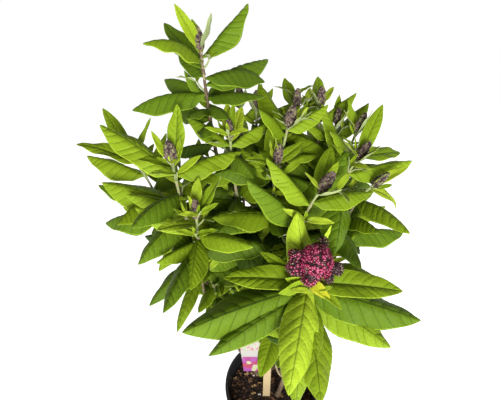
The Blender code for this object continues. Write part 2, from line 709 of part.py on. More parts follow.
def main():
    for thing in list(bpy.data.objects):
        bpy.data.objects.remove(thing)
    makePot(plainMaterial("pot_plastic", (0.012, 0.012, 0.013), 0.45))
    makeSoil(plainMaterial("potting_soil", (0.035, 0.020, 0.012), 0.95))
    card = plainMaterial("label_card", (0.80, 0.62, 0.68), 0.4)
    makeLabel(card, plainMaterial("label_wood", (0.72, 0.55, 0.34), 0.7))
    bark = plainMaterial("bark", (0.30, 0.22, 0.13), 0.85)
    foliage = plainMaterial("foliage", (0.16, 0.30, 0.03), 0.6)
    bloom = plainMaterial("bloom_shoot", (0.30, 0.10, 0.09), 0.6)
    limbs = growLimbs()
    standing = []
    for name in shoots:
        wood = woodSolid(name, limbs)
        kind = "bough" if "mother" in shoots[name] else "stem"
        solidObject(f"{kind}_{name}", *wood, bark)
        standing.append((*searchTree([wood]), f"{kind}_{name}", "wood"))
    for thing in ("pot", "soil", "label_stick", "label_card"):
        mesh = bpy.data.objects[thing].data
        points = np.array([v.co[:] for v in mesh.vertices])
        faces = [tuple(p.vertices) for p in mesh.polygons]
        standing.append((*searchTree([(points, faces)]), thing, "made"))
    grown = growLeaves(limbs, standing)
    for name in shoots:
        joinMass(f"leaves_{name}", grown[name], bloom if shoots[name].get("flower") else foliage)


main()
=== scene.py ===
import random
from math import cos, pi, radians, sin

import bpy
import numpy as np
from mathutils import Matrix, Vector, noise
from mathutils.bvhtree import BVHTree


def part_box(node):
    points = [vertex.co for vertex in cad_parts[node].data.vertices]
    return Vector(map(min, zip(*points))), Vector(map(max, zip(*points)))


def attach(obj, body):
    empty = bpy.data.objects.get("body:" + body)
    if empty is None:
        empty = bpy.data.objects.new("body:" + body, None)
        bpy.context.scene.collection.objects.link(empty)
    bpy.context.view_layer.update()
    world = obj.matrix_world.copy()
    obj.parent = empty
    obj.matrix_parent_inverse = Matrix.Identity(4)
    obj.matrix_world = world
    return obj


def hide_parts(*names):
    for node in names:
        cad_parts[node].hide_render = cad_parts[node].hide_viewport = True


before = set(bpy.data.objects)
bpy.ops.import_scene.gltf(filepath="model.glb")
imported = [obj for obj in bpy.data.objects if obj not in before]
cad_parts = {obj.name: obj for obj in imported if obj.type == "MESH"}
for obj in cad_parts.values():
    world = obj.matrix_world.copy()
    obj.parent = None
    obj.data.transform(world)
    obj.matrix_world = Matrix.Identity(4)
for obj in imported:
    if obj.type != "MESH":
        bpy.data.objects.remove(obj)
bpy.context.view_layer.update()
scene = bpy.context.scene


# Colours and materials

def toLinear(hexColour):
    channels = [int(hexColour[i:i + 2], 16) / 255 for i in (1, 3, 5)]
    return [c / 12.92 if c <= 0.04045 else ((c + 0.055) / 1.055) ** 2.4 for c in channels] + [1.0]


# Texture scale whose features are this many millimetres apart, for coordinates in metres.
def perMm(size):
    return 1000 / size


def addNode(material, kind, settings, links=None):
    node = material.node_tree.nodes.new(kind)
    for key, value in settings.items():
        if key in node.inputs:
            node.inputs[key].default_value = value
        else:
            setattr(node, key, value)
    for socket, (source, output) in (links or {}).items():
        material.node_tree.links.new(source.outputs[output], node.inputs[socket])
    return node


# Principled material with a plain colour. Its grain drives the bump and the roughness, and cells add domes.
def finish(name, colour, roughness, grainMm, reliefMm, ior=1.45, rougher=0.12, stretch=(1, 1, 1), cellMm=0,
           cellReliefMm=0, **sockets):
    material = bpy.data.materials.new(name)
    material.use_nodes = True
    shader = material.node_tree.nodes["Principled BSDF"]
    shader.inputs["Base Color"].default_value = toLinear(colour)
    shader.inputs["IOR"].default_value = ior
    for key, value in sockets.items():
        shader.inputs[key.replace("_", " ")].default_value = value
    place = addNode(material, "ShaderNodeTexCoord", {})
    mapping = addNode(material, "ShaderNodeMapping", {"Scale": stretch}, {"Vector": (place, "Object")})
    grain = addNode(material, "ShaderNodeTexNoise", {"Scale": perMm(grainMm), "Detail": 3.0, "Roughness": 0.6},
                    {"Vector": (mapping, "Vector")})
    gloss = addNode(material, "ShaderNodeMapRange",
                    {"From Min": 0.3, "From Max": 0.7, "To Min": roughness - rougher,
                     "To Max": roughness + rougher}, {"Value": (grain, "Fac")})
    bump = addNode(material, "ShaderNodeBump", {"Strength": 1.0, "Distance": reliefMm / 1000},
                   {"Height": (grain, "Fac")})
    if cellMm:
        edges = {"feature": "DISTANCE_TO_EDGE", "Scale": perMm(cellMm)}
        cells = addNode(material, "ShaderNodeTexVoronoi", edges, {"Vector": (place, "Object")})
        dome = addNode(material, "ShaderNodeMapRange", {"From Max": 0.45}, {"Value": (cells, "Distance")})
        bump = addNode(material, "ShaderNodeBump", {"Strength": 1.0, "Distance": cellReliefMm / 1000},
                       {"Height": (dome, "Result"), "Normal": (bump, "Normal")})
    material.node_tree.links.new(gloss.outputs["Result"], shader.inputs["Roughness"])
    material.node_tree.links.new(bump.outputs["Normal"], shader.inputs["Normal"])
    return material


# One object from many small parts, each (points, faces, slot of each face).
def joinedPiece(name, parts, materials, smooth=True):
    points = []
    faces = []
    slots = []
    base = 0
    for partPoints, partFaces, partSlots in parts:
        points.append(partPoints)
        faces += [[i + base for i in face] for face in partFaces]
        slots.append(np.asarray(partSlots, dtype=np.int32))
        base += len(partPoints)
    mesh = bpy.data.meshes.new(name)
    mesh.from_pydata(np.concatenate(points).tolist(), [], faces)
    for material in materials:
        mesh.materials.append(material)
    mesh.polygons.foreach_set("material_index", np.concatenate(slots))
    mesh.polygons.foreach_set("use_smooth", np.full(len(faces), smooth))
    mesh.update()
    thing = bpy.data.objects.new(name, mesh)
    scene.collection.objects.link(thing)
    return thing


def unit(v):
    return v / max(np.linalg.norm(v), 1e-9)


# The growing rule, the same as the solids' own

soilTop = 0.113
clearance = 0.0003

wood = {"tipRadius": 0.0013, "thickening": 0.0078, "boughShare": 0.8, "footFlare": 1.5, "flareHeight": 0.014}

leafRule = {
    "drop": (0.002, 0.009, 0.027, 0.054, 0.084, 0.118, 0.154, 0.192),
    "length": (0.028, 0.044, 0.066, 0.086, 0.098, 0.102, 0.098, 0.090),
    "opening": (40, 42, 50, 62, 72, 80, 88, 94),
    "bend": (-32, -16, 22, 36, 46, 52, 58, 62),
    "breadth": (0.26, 0.32, 0.35, 0.37, 0.38, 0.38, 0.37, 0.36),
    "thickness": 0.013,
    "fold": 0.10,
    "lightFrom": (0.0, -0.5, 0.866),
    "lightTurn": 0.45,
    "longestSmall": 0.05,
}

sprayRule = {"twig": 0.020, "leaf": 0.036, "chance": 0.1, "radii": (0.0012, 0.001, 0.0008)}

# Ways a leaf tries to find room, in this order: a turn and a tilt in degrees, and a share of its length
nudges = ((0, 0, 1), (8, 4, 1), (-8, -4, 1), (16, -6, 1), (-16, 6, 1), (24, 10, 1), (-24, -10, 1),
          (34, 14, 0.9), (-34, -14, 0.9), (0, 0, 0.75), (20, -8, 0.75), (-20, 8, 0.75), (40, 0, 0.65),
          (-40, 0, 0.65))

budShape = {"length": 0.021, "radius": 0.0052}
flowerShape = {"radius": 0.0225, "depth": 0.046}
# Side clusters: rightward, away and up from the head's middle, and radius
flowerLobes = ((-0.021, 0.0, -0.002, 0.0085), (0.026, 0.002, -0.005, 0.0065),
               (0.012, 0.022, 0.004, 0.0055), (-0.006, -0.014, -0.014, 0.0080))

# Shoots, sizes in millimetres and angles in degrees: where each starts, its tip, its heading at both ends,
# the bearing of its first pair of leaves, the size of its bud, and the leaves that show their own way, by
# (pair, hand): (bearing, opening, length, bend), then a drop below the tip and a share of the pair's breadth.
shoots = {
    "tall": dict(foot=(-14, 52), tip=(-94, 96, 697), leave=(120, 72), arrive=(115, 82), twist=10, pairs=8,
        bud=0.85, spread=0.95,
        posed={(0, 0): (310, 50, 45, -20), (0, 1): (200, 25, 50, -20), (1, 1): (145, 45, 70, 5, 24, 1.2),
        (2, 0): (30, 50, 80, 5, 12), (2, 1): (245, 40, 80, 70, 16), (3, 0): (15, 70, 85, 75, 34),
        (3, 1): (125, 55, 60, 10, 32), (4, 0): (35, 70, 100, 30, 42), (4, 1): (185, 75, 95, 50, 52),
        (5, 0): (65, 75, 75, 20, 58), (5, 1): (140, 65, 80, 40, 52), (6, 0): (80, 70, 35, 0, 60),
        (6, 1): (150, 35, 45, 5, 62, 0.8), (7, 0): (300, 70, 50, 55, 66), (7, 1): (250, 65, 50, 40, 70)}),
    "left": dict(foot=(-24, 30), tip=(-126, 25, 595), leave=(170, 64), arrive=(120, 80), twist=350, bud=1.3,
        posed={(0, 0): (25, 40, 30, -30), (0, 1): (165, 35, 40, -30), (1, 0): (65, 30, 70, -10),
        (1, 1): (185, 55, 40, 35), (2, 0): (20, 65, 85, 40, 20), (2, 1): (165, 45, 100, 20, 18),
        (3, 1): (250, 65, 80, 50, 42, 1.1), (4, 1): (175, 60, 100, 25, 60, 1.1),
        (5, 0): (245, 70, 85, 60, 76), (5, 1): (175, 75, 80, 30, 68), (6, 1): (215, 105, 70, 60, 98)}),
    "far_left": dict(mother="left", fork=0.5, tip=(-184, 61, 577), leave=(165, 35), arrive=(160, 50),
        twist=350, pairs=5, bud=1.2,
        posed={(0, 0): (20, 65, 55, -10), (0, 1): (85, 25, 75, -5), (1, 1): (185, 25, 75, 30),
        (2, 1): (165, 40, 85, 30)}),
    "low_left": dict(mother="left", fork=0.42, tip=(-99, -12, 546), leave=(250, 50), arrive=(90, 84),
        twist=20, spread=0.6,
        posed={(0, 0): (15, 35, 55, -5), (0, 1): (195, 15, 30, -10), (1, 1): (230, 55, 55, 30, 13),
        (2, 0): (325, 65, 75, 35, 26), (3, 1): (270, 85, 70, 30, 32, 1.15),
        (4, 1): (260, 65, 105, 45, 46, 0.62), (5, 1): (215, 95, 85, 60, 66, 0.7),
        (6, 1): (250, 90, 75, 50, 92, 0.6)}),
    "middle": dict(foot=(6, 44), tip=(-63, 64, 606), leave=(110, 74), arrive=(110, 84), twist=0, bud=0.9,
        posed={(0, 0): (70, 35, 40, -20), (1, 0): (95, 45, 50, -10), (1, 1): (65, 55, 50, -10),
        (2, 0): (25, 55, 60, 45, 14), (2, 1): (165, 45, 65, 35, 14), (3, 1): (270, 60, 60, 60, 24)}),
    "back_left": dict(mother="middle", fork=0.5, tip=(-52, 131, 619), leave=(110, 45), arrive=(110, 86),
        twist=20, scale=0.9,
        posed={(0, 0): (95, 65, 40, -20)}),
    "back_middle": dict(mother="middle", fork=0.6, tip=(-31, 128, 616), leave=(60, 45), arrive=(90, 86),
        twist=340, pairs=5, scale=0.85,
        posed={(0, 0): (75, 65, 40, -20)}),
    "centre": dict(mother="middle", fork=0.4, tip=(-8, 38, 587), leave=(15, 50), arrive=(30, 80), twist=350,
        scale=0.95,
        posed={(0, 0): (340, -5, 30, -20), (1, 0): (40, 65, 50, 10, 4), (1, 1): (220, 50, 50, 40),
        (2, 0): (100, 30, 65, 5, 15), (3, 1): (210, 45, 95, 30, 88), (4, 1): (130, 90, 90, 30, 50)}),
    "high_back": dict(foot=(24, 34), tip=(20, 115, 624), leave=(85, 74), arrive=(90, 86), twist=20, scale=0.9,
        bud=0.9,
        posed={(0, 0): (40, 75, 40, -10), (0, 1): (265, 80, 25, 20), (1, 1): (105, 65, 60, -5)}),
    "high_middle": dict(mother="high_back", fork=0.5, tip=(6, 68, 618), leave=(230, 50), arrive=(20, 78),
        twist=30, scale=0.9, spread=0.8, bud=1.3,
        posed={(0, 1): (225, 70, 30, -10), (2, 0): (25, 50, 60, 15, 8), (2, 1): (120, 65, 80, 5, 6),
        (3, 1): (200, 50, 75, 30, 14)}),
    "far_back": dict(mother="high_back", fork=0.45, tip=(50, 116, 625), leave=(20, 45), arrive=(90, 86),
        twist=0, scale=0.9,
        posed={(0, 0): (55, 75, 40, -10), (1, 0): (85, 65, 60, -5), (1, 1): (230, 40, 40, 0)}),
    "back_right": dict(mother="high_back", fork=0.6, tip=(72, 107, 604), leave=(10, 40), arrive=(60, 80),
        twist=30, pairs=5, scale=0.85, bud=0.7,
        posed={(0, 0): (85, 50, 40, -20), (0, 1): (60, 70, 40, -10), (2, 0): (35, 50, 70, 10)}),
    "right": dict(foot=(30, 14), tip=(91, 50, 586), leave=(45, 76), arrive=(10, 62), twist=20,
        posed={(0, 0): (90, 40, 75, 5), (0, 1): (200, 75, 40, -10), (1, 0): (25, 65, 70, 20, 2),
        (2, 0): (15, 55, 90, 20), (2, 1): (150, 65, 105, 60), (3, 1): (265, 100, 95, 60, 42, 1.2),
        (4, 1): (295, 85, 85, 50, 90)}),
    "right_high": dict(mother="right", fork=0.5, tip=(93, 82, 605), leave=(100, 50), arrive=(30, 70),
        twist=30, scale=0.95,
        posed={(0, 0): (25, 60, 35, 20), (0, 1): (190, 60, 35, -10), (2, 0): (180, 40, 75, 20, 40)}),
    "far_right": dict(mother="right", fork=0.42, tip=(112, 38, 554), leave=(330, 35), arrive=(0, 45),
        twist=20, pairs=5,
        posed={(0, 0): (25, 15, 45, 10), (1, 0): (350, 60, 50, 60), (2, 0): (280, 60, 85, 40),
        (3, 0): (265, 50, 70, 40)}),
    "front": dict(foot=(12, -10), tip=(25, -60, 503), leave=(300, 80), arrive=(270, 84), twist=90, pairs=7,
        scale=1.15, spread=0.85, flower=True,
        posed={(0, 0): (315, 80, 45, 40, 12), (0, 1): (145, 75, 65, 10, 18), (1, 0): (350, 80, 100, 20, 13),
        (1, 1): (175, 85, 95, 20, 13), (2, 0): (110, 25, 90, 10), (2, 1): (255, 75, 115, 50, 22),
        (3, 0): (340, 85, 125, 25, 22), (3, 1): (200, 85, 145, 25, 22), (4, 0): (270, 70, 75, 45, 34),
        (4, 1): (270, 65, 115, 50, 48), (5, 0): (325, 85, 105, 35, 36, 1.0),
        (5, 1): (215, 80, 130, 45, 34, 0.62), (6, 0): (25, 130, 80, 30, 90), (6, 1): (260, 90, 110, 50, 62)}),
    "front_middle": dict(mother="front", fork=0.38, tip=(39, -2, 576), leave=(70, 50), arrive=(0, 62),
        twist=20, bud=1.3,
        posed={(0, 0): (65, 60, 40, -20), (0, 1): (185, 65, 30, 5), (1, 0): (80, 60, 70, 5),
        (2, 0): (15, 60, 75, 25, 22), (2, 1): (170, 50, 75, 30), (3, 0): (50, 25, 100, 36),
        (3, 1): (185, 45, 90, 25), (4, 1): (125, 80, 75, 30, 40)}),
    "low_front": dict(mother="front", fork=0.24, tip=(-2, -11, 323), leave=(200, 40), arrive=(250, 50),
        twist=0, pairs=4, scale=0.7, bud=0,
        posed={(1, 0): (190, 60, 55, 5), (1, 1): (255, 60, 70, 30), (2, 0): (270, 65, 50, 22)}),
    "low_left_side": dict(mother="left", fork=0.3, tip=(-105, 32, 396), leave=(150, 25), arrive=(170, 50),
        twist=40, pairs=4, scale=0.65, bud=0,
        posed={(0, 0): (335, 80, 35, 5), (0, 1): (250, 60, 35, 5)}),
    "low_left_back": dict(mother="left", fork=0.22, tip=(-78, 43, 361), leave=(120, 25), arrive=(140, 60),
        twist=10, pairs=4, scale=0.6, bud=0,
        posed={(1, 1): (250, 100, 50, 5)}),
    "right_side": dict(mother="right", fork=0.34, tip=(104, 82, 484), leave=(10, 35), arrive=(40, 60),
        twist=40, pairs=5, scale=0.72, bud=0),
    "rear_left": dict(mother="tall", fork=0.42, tip=(-150, 150, 520), leave=(150, 35), arrive=(140, 70),
        twist=45, pairs=5),
    "rear_middle": dict(mother="tall", fork=0.34, tip=(-40, 195, 500), leave=(60, 35), arrive=(90, 60),
        twist=15, pairs=5),
    "rear_right": dict(mother="high_back", fork=0.34, tip=(85, 165, 505), leave=(40, 35), arrive=(60, 60),
        twist=60, pairs=5),
    "inner_middle": dict(mother="middle", fork=0.45, tip=(-39, 22, 483), leave=(270, 55), arrive=(270, 76),
        twist=20, pairs=6, bud=0),
    "low_middle": dict(mother="middle", fork=0.3, tip=(-49, -2, 401), leave=(240, 50), arrive=(240, 70),
        twist=40, pairs=4, scale=0.85, bud=0),
    "low_left_front": dict(mother="left", fork=0.36, tip=(-88, -12, 440), leave=(280, 45), arrive=(280, 75),
        twist=30, pairs=4, scale=0.8, bud=0),
    "inner_right": dict(mother="right", fork=0.47, tip=(62, 14, 482), leave=(330, 55), arrive=(300, 76),
        twist=60, pairs=5, bud=0),
}


# Rotation of v about an axis, angle in degrees.
def turned(v, axis, angle):
    a = radians(angle)
    return v * cos(a) + np.cross(axis, v) * sin(a) + axis * np.dot(axis, v) * (1 - cos(a))


def heading(bearing, rise):
    b = radians(bearing)
    r = radians(rise)
    return np.array([cos(r) * cos(b), cos(r) * sin(b), sin(r)])


def limbPoints(start, finish, leave, arrive, steps=24):
    u = np.linspace(0, 1, steps + 1)[:, None]
    span = np.linalg.norm(finish - start)
    bow = (2 * u**3 - 3 * u**2 + 1) * start + (3 * u**2 - 2 * u**3) * finish
    return bow + (u**3 - 2 * u**2 + u) * span * leave + (u**3 - u**2) * span * arrive


# A limb's middle line, read by the distance below its tip.
class Limb:
    def __init__(self, points):
        self.points = points
        steps = np.linalg.norm(np.diff(points, axis=0), axis=1)
        self.run = np.concatenate([[0], np.cumsum(steps)])
        self.length = self.run[-1]

    def below(self, drop):
        s = self.length - drop
        return np.array([np.interp(s, self.run, self.points[:, k]) for k in range(3)])

    def direction(self, drop):
        return unit(self.below(drop - 0.004) - self.below(drop + 0.004))

    def radius(self, drop):
        return wood["tipRadius"] + wood["thickening"] * drop

    def axes(self, drop):
        ahead = self.direction(drop)
        return ahead, *across(ahead)


# Two directions across a limb: to the right and away from the viewer.
def across(direction):
    right = unit(np.array([1.0, 0, 0]) - direction[0] * direction)
    return right, np.cross(direction, right)


# Direction between those two, at an angle from the first.
def outward(right, away, angle):
    return right * cos(angle) + away * sin(angle)


def leafOn(limb, drop, bearing, opening, length, bend, breadth):
    t, right, away = limb.axes(drop)
    side = outward(right, away, radians(bearing))
    first = t * cos(radians(opening)) + side * sin(radians(opening))
    normal = t * sin(radians(opening)) - side * cos(radians(opening))
    light = np.array(leafRule["lightFrom"])
    toLight = unit(light - np.dot(light, first) * first)
    normal = unit(normal * (1 - leafRule["lightTurn"]) + toLight * leafRule["lightTurn"])
    root = limb.below(drop) + side * limb.radius(drop) * 0.3
    return dict(root=root, first=first, normal=normal, length=length, breadth=breadth, bend=bend)


# The solids' simple blade, used to find room.
def plainBlade(leaf):
    small = leaf["length"] < leafRule["longestSmall"]
    shares, widths = ((0, 0.45), (0.14, 1.0)) if small else ((0, 0.3, 0.66), (0.12, 0.94, 0.88))
    side = np.cross(leaf["first"], leaf["normal"])
    fine = 16
    place = leaf["root"]
    places = [place]
    for i in range(fine):
        head = turned(leaf["first"], side, -leaf["bend"] * ((i + 0.5) / fine) ** 1.2)
        place = place + head * leaf["length"] / fine
        places.append(place)
    places = np.array(places)
    run = np.linspace(0, 1, fine + 1)
    points = []
    for share, width in zip(shares, widths):
        at = np.array([np.interp(share, run, places[:, k]) for k in range(3)])
        up = np.cross(side, turned(leaf["first"], side, -leaf["bend"] * share ** 1.2))
        half = leaf["breadth"] * leaf["length"] / 2 * width
        lift = up * leafRule["fold"] * half
        points += [at + side * half - lift, at - side * half - lift,
                   at + up * leafRule["thickness"] * leaf["length"] / 2]
    points.append(places[-1])
    faces = [(0, 1, 2)]
    rings = len(widths)
    for i in range(rings - 1):
        for k in range(3):
            a = 3 * i + k
            b = 3 * i + (k + 1) % 3
            faces += [(a, a + 3, b + 3), (a, b + 3, b)]
    faces += [(3 * rings - 3 + k, 3 * rings, 3 * rings - 3 + (k + 1) % 3) for k in range(3)]
    return np.array(points), faces


# Quads between rings of points that follow one another from a first index.
def ringFaces(first, rings, sides):
    faces = []
    for i in range(rings - 1):
        for k in range(sides):
            a = first + sides * i + k
            b = first + sides * i + (k + 1) % sides
            faces.append((a, b, b + sides, a + sides))
    return faces


def plainTube(places, radii, sides):
    points = []
    edge = None
    for i, (at, radius) in enumerate(zip(places, radii)):
        ahead = unit(places[min(i + 1, len(places) - 1)] - places[max(i - 1, 0)])
        edge = across(ahead)[0] if edge is None else unit(edge - np.dot(edge, ahead) * ahead)
        other = np.cross(ahead, edge)
        for k in range(sides):
            a = 2 * pi * (k + 0.5) / sides
            points.append(at + outward(edge, other, a) * radius)
    faces = [tuple(reversed(range(sides)))] + ringFaces(0, len(places), sides)
    faces.append(tuple(range(len(points) - sides, len(points))))
    return np.array(points), faces


# Solid of revolution about an axis from a base point, with points on the axis at both ends.
def turnedShape(base, axis, profile, sides):
    right, away = across(axis)
    points = []
    for radius, height in profile:
        for k in range(1 if radius == 0 else sides):
            a = 2 * pi * k / sides
            points.append(base + axis * height + outward(right, away, a) * radius)
    rings = len(profile) - 2
    faces = [(0, 1 + (k + 1) % sides, 1 + k) for k in range(sides)] + ringFaces(1, rings, sides)
    last = 1 + sides * (rings - 1)
    faces += [(last + k, last + (k + 1) % sides, len(points) - 1) for k in range(sides)]
    return np.array(points), faces


def budProfile(size):
    r = budShape["radius"] * size
    h = budShape["length"] * size
    return [(0, 0), (r * 0.7, h * 0.04), (r, h * 0.34), (r * 0.62, h * 0.76), (0, h)]


def flowerProfile():
    shape = ((0, 0), (0.62, 0.05), (0.95, 0.26), (1.0, 0.48), (0.84, 0.72), (0.5, 0.92), (0, 1.0))
    return [(flowerShape["radius"] * r, flowerShape["depth"] * h) for r, h in shape]


# Side clusters of the flower head as (base, axis, profile), each starting in the head's middle.
def lobeShapes(limb):
    axis, right, away = limb.axes(0)
    middle = limb.below(0.004) + axis * flowerShape["depth"] / 2
    lobes = []
    for x, y, z, radius in flowerLobes:
        reach = right * x + away * y + axis * z
        far = np.linalg.norm(reach)
        profile = [(0, 0), (radius * 0.8, far - radius * 0.7), (radius, far),
                   (radius * 0.66, far + radius * 0.7), (0, far + radius)]
        lobes.append((middle, unit(reach), profile))
    return lobes


# Short twig in a leaf axil and its two small leaves.
def sprayOn(limb, drop, bearing, size=1.0):
    t, right, away = limb.axes(drop)
    side = outward(right, away, radians(bearing))
    start = limb.below(drop)
    finish = start + (t * 0.75 + side * 0.66) * sprayRule["twig"] * size
    twig = Limb(limbPoints(start, finish, unit(t * 0.5 + side), unit(t + side * 0.4), 3))
    blades = [leafOn(twig, 0.002, bearing + 90 + 180 * hand, 50, sprayRule["leaf"] * size, 30, 0.27)
              for hand in (0, 1)]
    return twig, blades


def searchTree(pieces):
    points = np.concatenate([p for p, _ in pieces])
    faces = []
    base = 0
    for p, f in pieces:
        faces += [tuple(i + base for i in face) for face in f]
        base += len(p)
    return BVHTree.FromPolygons(points.tolist(), faces), points.min(axis=0), points.max(axis=0)


# True where a piece crosses one that already stands. Kin are the pieces of its own shoot that it may touch.
def crosses(tree, standing, owner, kin):
    found, low, high = tree
    for other, otherLow, otherHigh, otherOwner, otherKind in standing:
        if otherOwner == owner and (kin == "all" or otherKind in kin):
            continue
        if (low > otherHigh).any() or (high < otherLow).any():
            continue
        if found.overlap(other):
            return True
    return False


def growLimbs():
    limbs = {}
    for name, shoot in shoots.items():
        tip = np.array(shoot["tip"]) / 1000
        if "mother" in shoot:
            mother = limbs[shoot["mother"]]
            start = mother.below(mother.length * (1 - shoot["fork"]))
        else:
            start = np.array([*shoot["foot"], 0.0]) / 1000
            start[2] = soilTop + clearance
        limbs[name] = Limb(limbPoints(start, tip, heading(*shoot["leave"]), heading(*shoot["arrive"])))
    return limbs


def pairDrop(shoot, pair):
    return leafRule["drop"][pair] * shoot.get("spread", 1.0) * shoot.get("scale", 1.0)


# Length of a shoot's leafy end, which belongs to its mass.
def leafyLength(shoot):
    return pairDrop(shoot, shoot.get("pairs", 7) - 1) + 0.012


# Radius of a shoot's wood, which thins faster along its leafy end.
def woodRadius(limb, shoot, drop):
    share = wood["boughShare"] if "mother" in shoot else 1.0
    leafy = leafyLength(shoot)
    if drop > leafy:
        return limb.radius(drop) * share
    return wood["tipRadius"] + (limb.radius(leafy) * share - wood["tipRadius"]) * drop / leafy


# Everything that stands before the leaves: wood, pot, soil and label, then each shoot's leafy end and head.
def firstStanding(limbs):
    standing = []
    for name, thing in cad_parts.items():
        if not name.startswith("leaves_"):
            points = np.array([v.co[:] for v in thing.data.vertices])
            faces = [tuple(p.vertices) for p in thing.data.polygons]
            standing.append((*searchTree([(points, faces)]), name, "made"))
    for name, shoot in shoots.items():
        limb = limbs[name]
        drops = np.linspace(leafyLength(shoot), 0, 5)
        twig = plainTube([limb.below(d) for d in drops], [woodRadius(limb, shoot, d) for d in drops], 4)
        standing.append((*searchTree([twig]), name, "twig"))
        if shoot.get("flower"):
            heads = [turnedShape(limb.below(0.004), limb.direction(0), flowerProfile(), 10)]
            heads += [turnedShape(*lobe, 6) for lobe in lobeShapes(limb)]
        elif shoot.get("bud", 1):
            heads = [turnedShape(limb.below(0.003), limb.direction(0), budProfile(shoot.get("bud", 1)), 6)]
        else:
            continue
        standing += [(*searchTree([head]), name, "head") for head in heads]
    return standing


# Small leaves close under the flower head: age, bearing, opening, length in mm, bend, drop in mm and breadth.
bracts = (("young", 198, 74, 28, 20, 10, 0.42), ("fresh", 219, 84, 39, 25, 9, 0.36),
          ("young", 276, 118, 27, 5, 14, 0.22), ("yellow", 256, 118, 24, 5, 14, 0.14),
          ("yellow", 303, 86, 30, 35, 8, 0.45))

# Narrow leaf over the small bud beside the head; its place is rightward, away and up from the tip.
narrowLeaf = {
    "place": (0.0139, 0.0235, 0.019),
    "way": (0.22, 0.3, 0.93),
    "size": {"length": 0.026, "breadth": 0.22, "bend": 4},
}

frontWay = (0.15, -0.9, 0.4)
labelLeafBroader = 1.35


# The same leaf turned about its own length until its upper face is to the front.
def facingFront(leaf):
    front = np.array(frontWay)
    return dict(leaf, normal=unit(front - np.dot(front, leaf["first"]) * leaf["first"]))


def flowerSideLeaves(limb):
    leaves = []
    for age, bearing, opening, length, bend, drop, breadth in bracts:
        blade = leafOn(limb, drop / 1000, bearing, opening, length / 1000, bend, breadth)
        leaves.append(dict(facingFront(blade), shoot="front", pair=0, kind=age))
    axis, right, away = limb.axes(0)
    x, y, z = narrowLeaf["place"]
    root = limb.below(0) + right * x + away * y + axis * z
    blade = dict(narrowLeaf["size"], root=root, first=unit(np.array(narrowLeaf["way"])), normal=axis)
    leaves.append(dict(facingFront(blade), shoot="front", pair=0, kind="lime"))
    return leaves


# Leaves and sprays of all shoots, each kept only where it finds room.
def growLeaves(limbs):
    standing = firstStanding(limbs)
    leaves = []
    sprays = []
    for wanted in ("posed", "free", "spray"):
        for number, name in enumerate(shoots):
            rule = random.Random(100 * number + len(wanted))
            growKind(wanted, name, limbs[name], rule, leaves, sprays, standing)
    growAxils(limbs, leaves, sprays, standing)
    leaves += flowerSideLeaves(limbs["front"])
    # The tip leaf left of the tall shoot's bud shows its face, and a broad one hangs over the label's stick
    for number, leaf in enumerate(leaves):
        if leaf["shoot"] == "tall" and leaf["kind"] == "posed" and leaf["pair"] == 0 and leaf["first"][0] < 0:
            leaves[number] = facingFront(leaf)
        if leaf["shoot"] == "low_front" and leaf["kind"] == "posed" and leaf["length"] > 0.06:
            leaves[number] = dict(leaf, breadth=leaf["breadth"] * labelLeafBroader)
    return leaves, sprays


def growKind(wanted, name, limb, rule, leaves, sprays, standing):
    shoot = shoots[name]
    scale = shoot.get("scale", 1.0)
    posed = shoot.get("posed", {})
    for pair in range(shoot.get("pairs", 7)):
        for hand in (0, 1):
            drop = pairDrop(shoot, pair)
            bearing = shoot["twist"] + 90 * (pair % 2) + 180 * hand + rule.uniform(-12, 12)
            opening = leafRule["opening"][pair] + rule.uniform(-7, 7)
            length = leafRule["length"][pair] * scale * rule.uniform(0.92, 1.08)
            bend = leafRule["bend"][pair] * rule.uniform(0.8, 1.2)
            breadth = leafRule["breadth"][pair]
            chance = rule.random()
            if ((pair, hand) in posed) != (wanted == "posed") and wanted != "spray":
                continue
            if wanted == "posed":
                bearing, opening, size, bend, *own = posed[pair, hand]
                length = size / 1000
                if own:
                    drop = own[0] / 1000
                if len(own) > 1:
                    breadth *= own[1]
            if wanted == "spray" and (pair < 2 or chance > sprayRule["chance"]):
                continue
            kin = {"posed": "all", "free": ("twig", "head"), "spray": ("twig", pair)}[wanted]
            for turn, tilt, share in nudges:
                if wanted == "spray":
                    twig, blades = sprayOn(limb, drop, bearing + 2 * turn)
                    places = [twig.below(d) for d in np.linspace(twig.length, 0, 3)]
                    solids = [plainTube(places, sprayRule["radii"], 3)] + [plainBlade(b) for b in blades]
                else:
                    blades = [leafOn(limb, drop, bearing + turn, opening + tilt, length * share, bend,
                                     breadth)]
                    solids = [plainBlade(blades[0])]
                tree = searchTree(solids)
                if not crosses(tree, standing, name, kin):
                    standing.append((*tree, name, pair))
                    place = 0 if wanted == "spray" else pair
                    leaves += [dict(blade, shoot=name, pair=place, kind=wanted) for blade in blades]
                    if wanted == "spray":
                        sprays.append(twig)
                    break


# Young growth too small for the solids: axil sprays of two to four leaves, and stray leaves low in the crown,
# within each mass's own reach. Turns are tried in their order, with a share of the length for strays.
axilLook = {
    "chance": 0.62,
    "sizes": (0.45, 1.05),
    "turns": (0, 25, -25, 50, -50),
    "innerShare": 0.55,
    "strayChance": 0.85,
    "strayLength": (0.5, 0.95),
    "strayTurns": ((0, 1), (30, 1), (-30, 1), (15, 0.8), (-15, 0.8), (45, 0.7), (-45, 0.7), (0, 0.55)),
    "pastBox": 0.002,
}


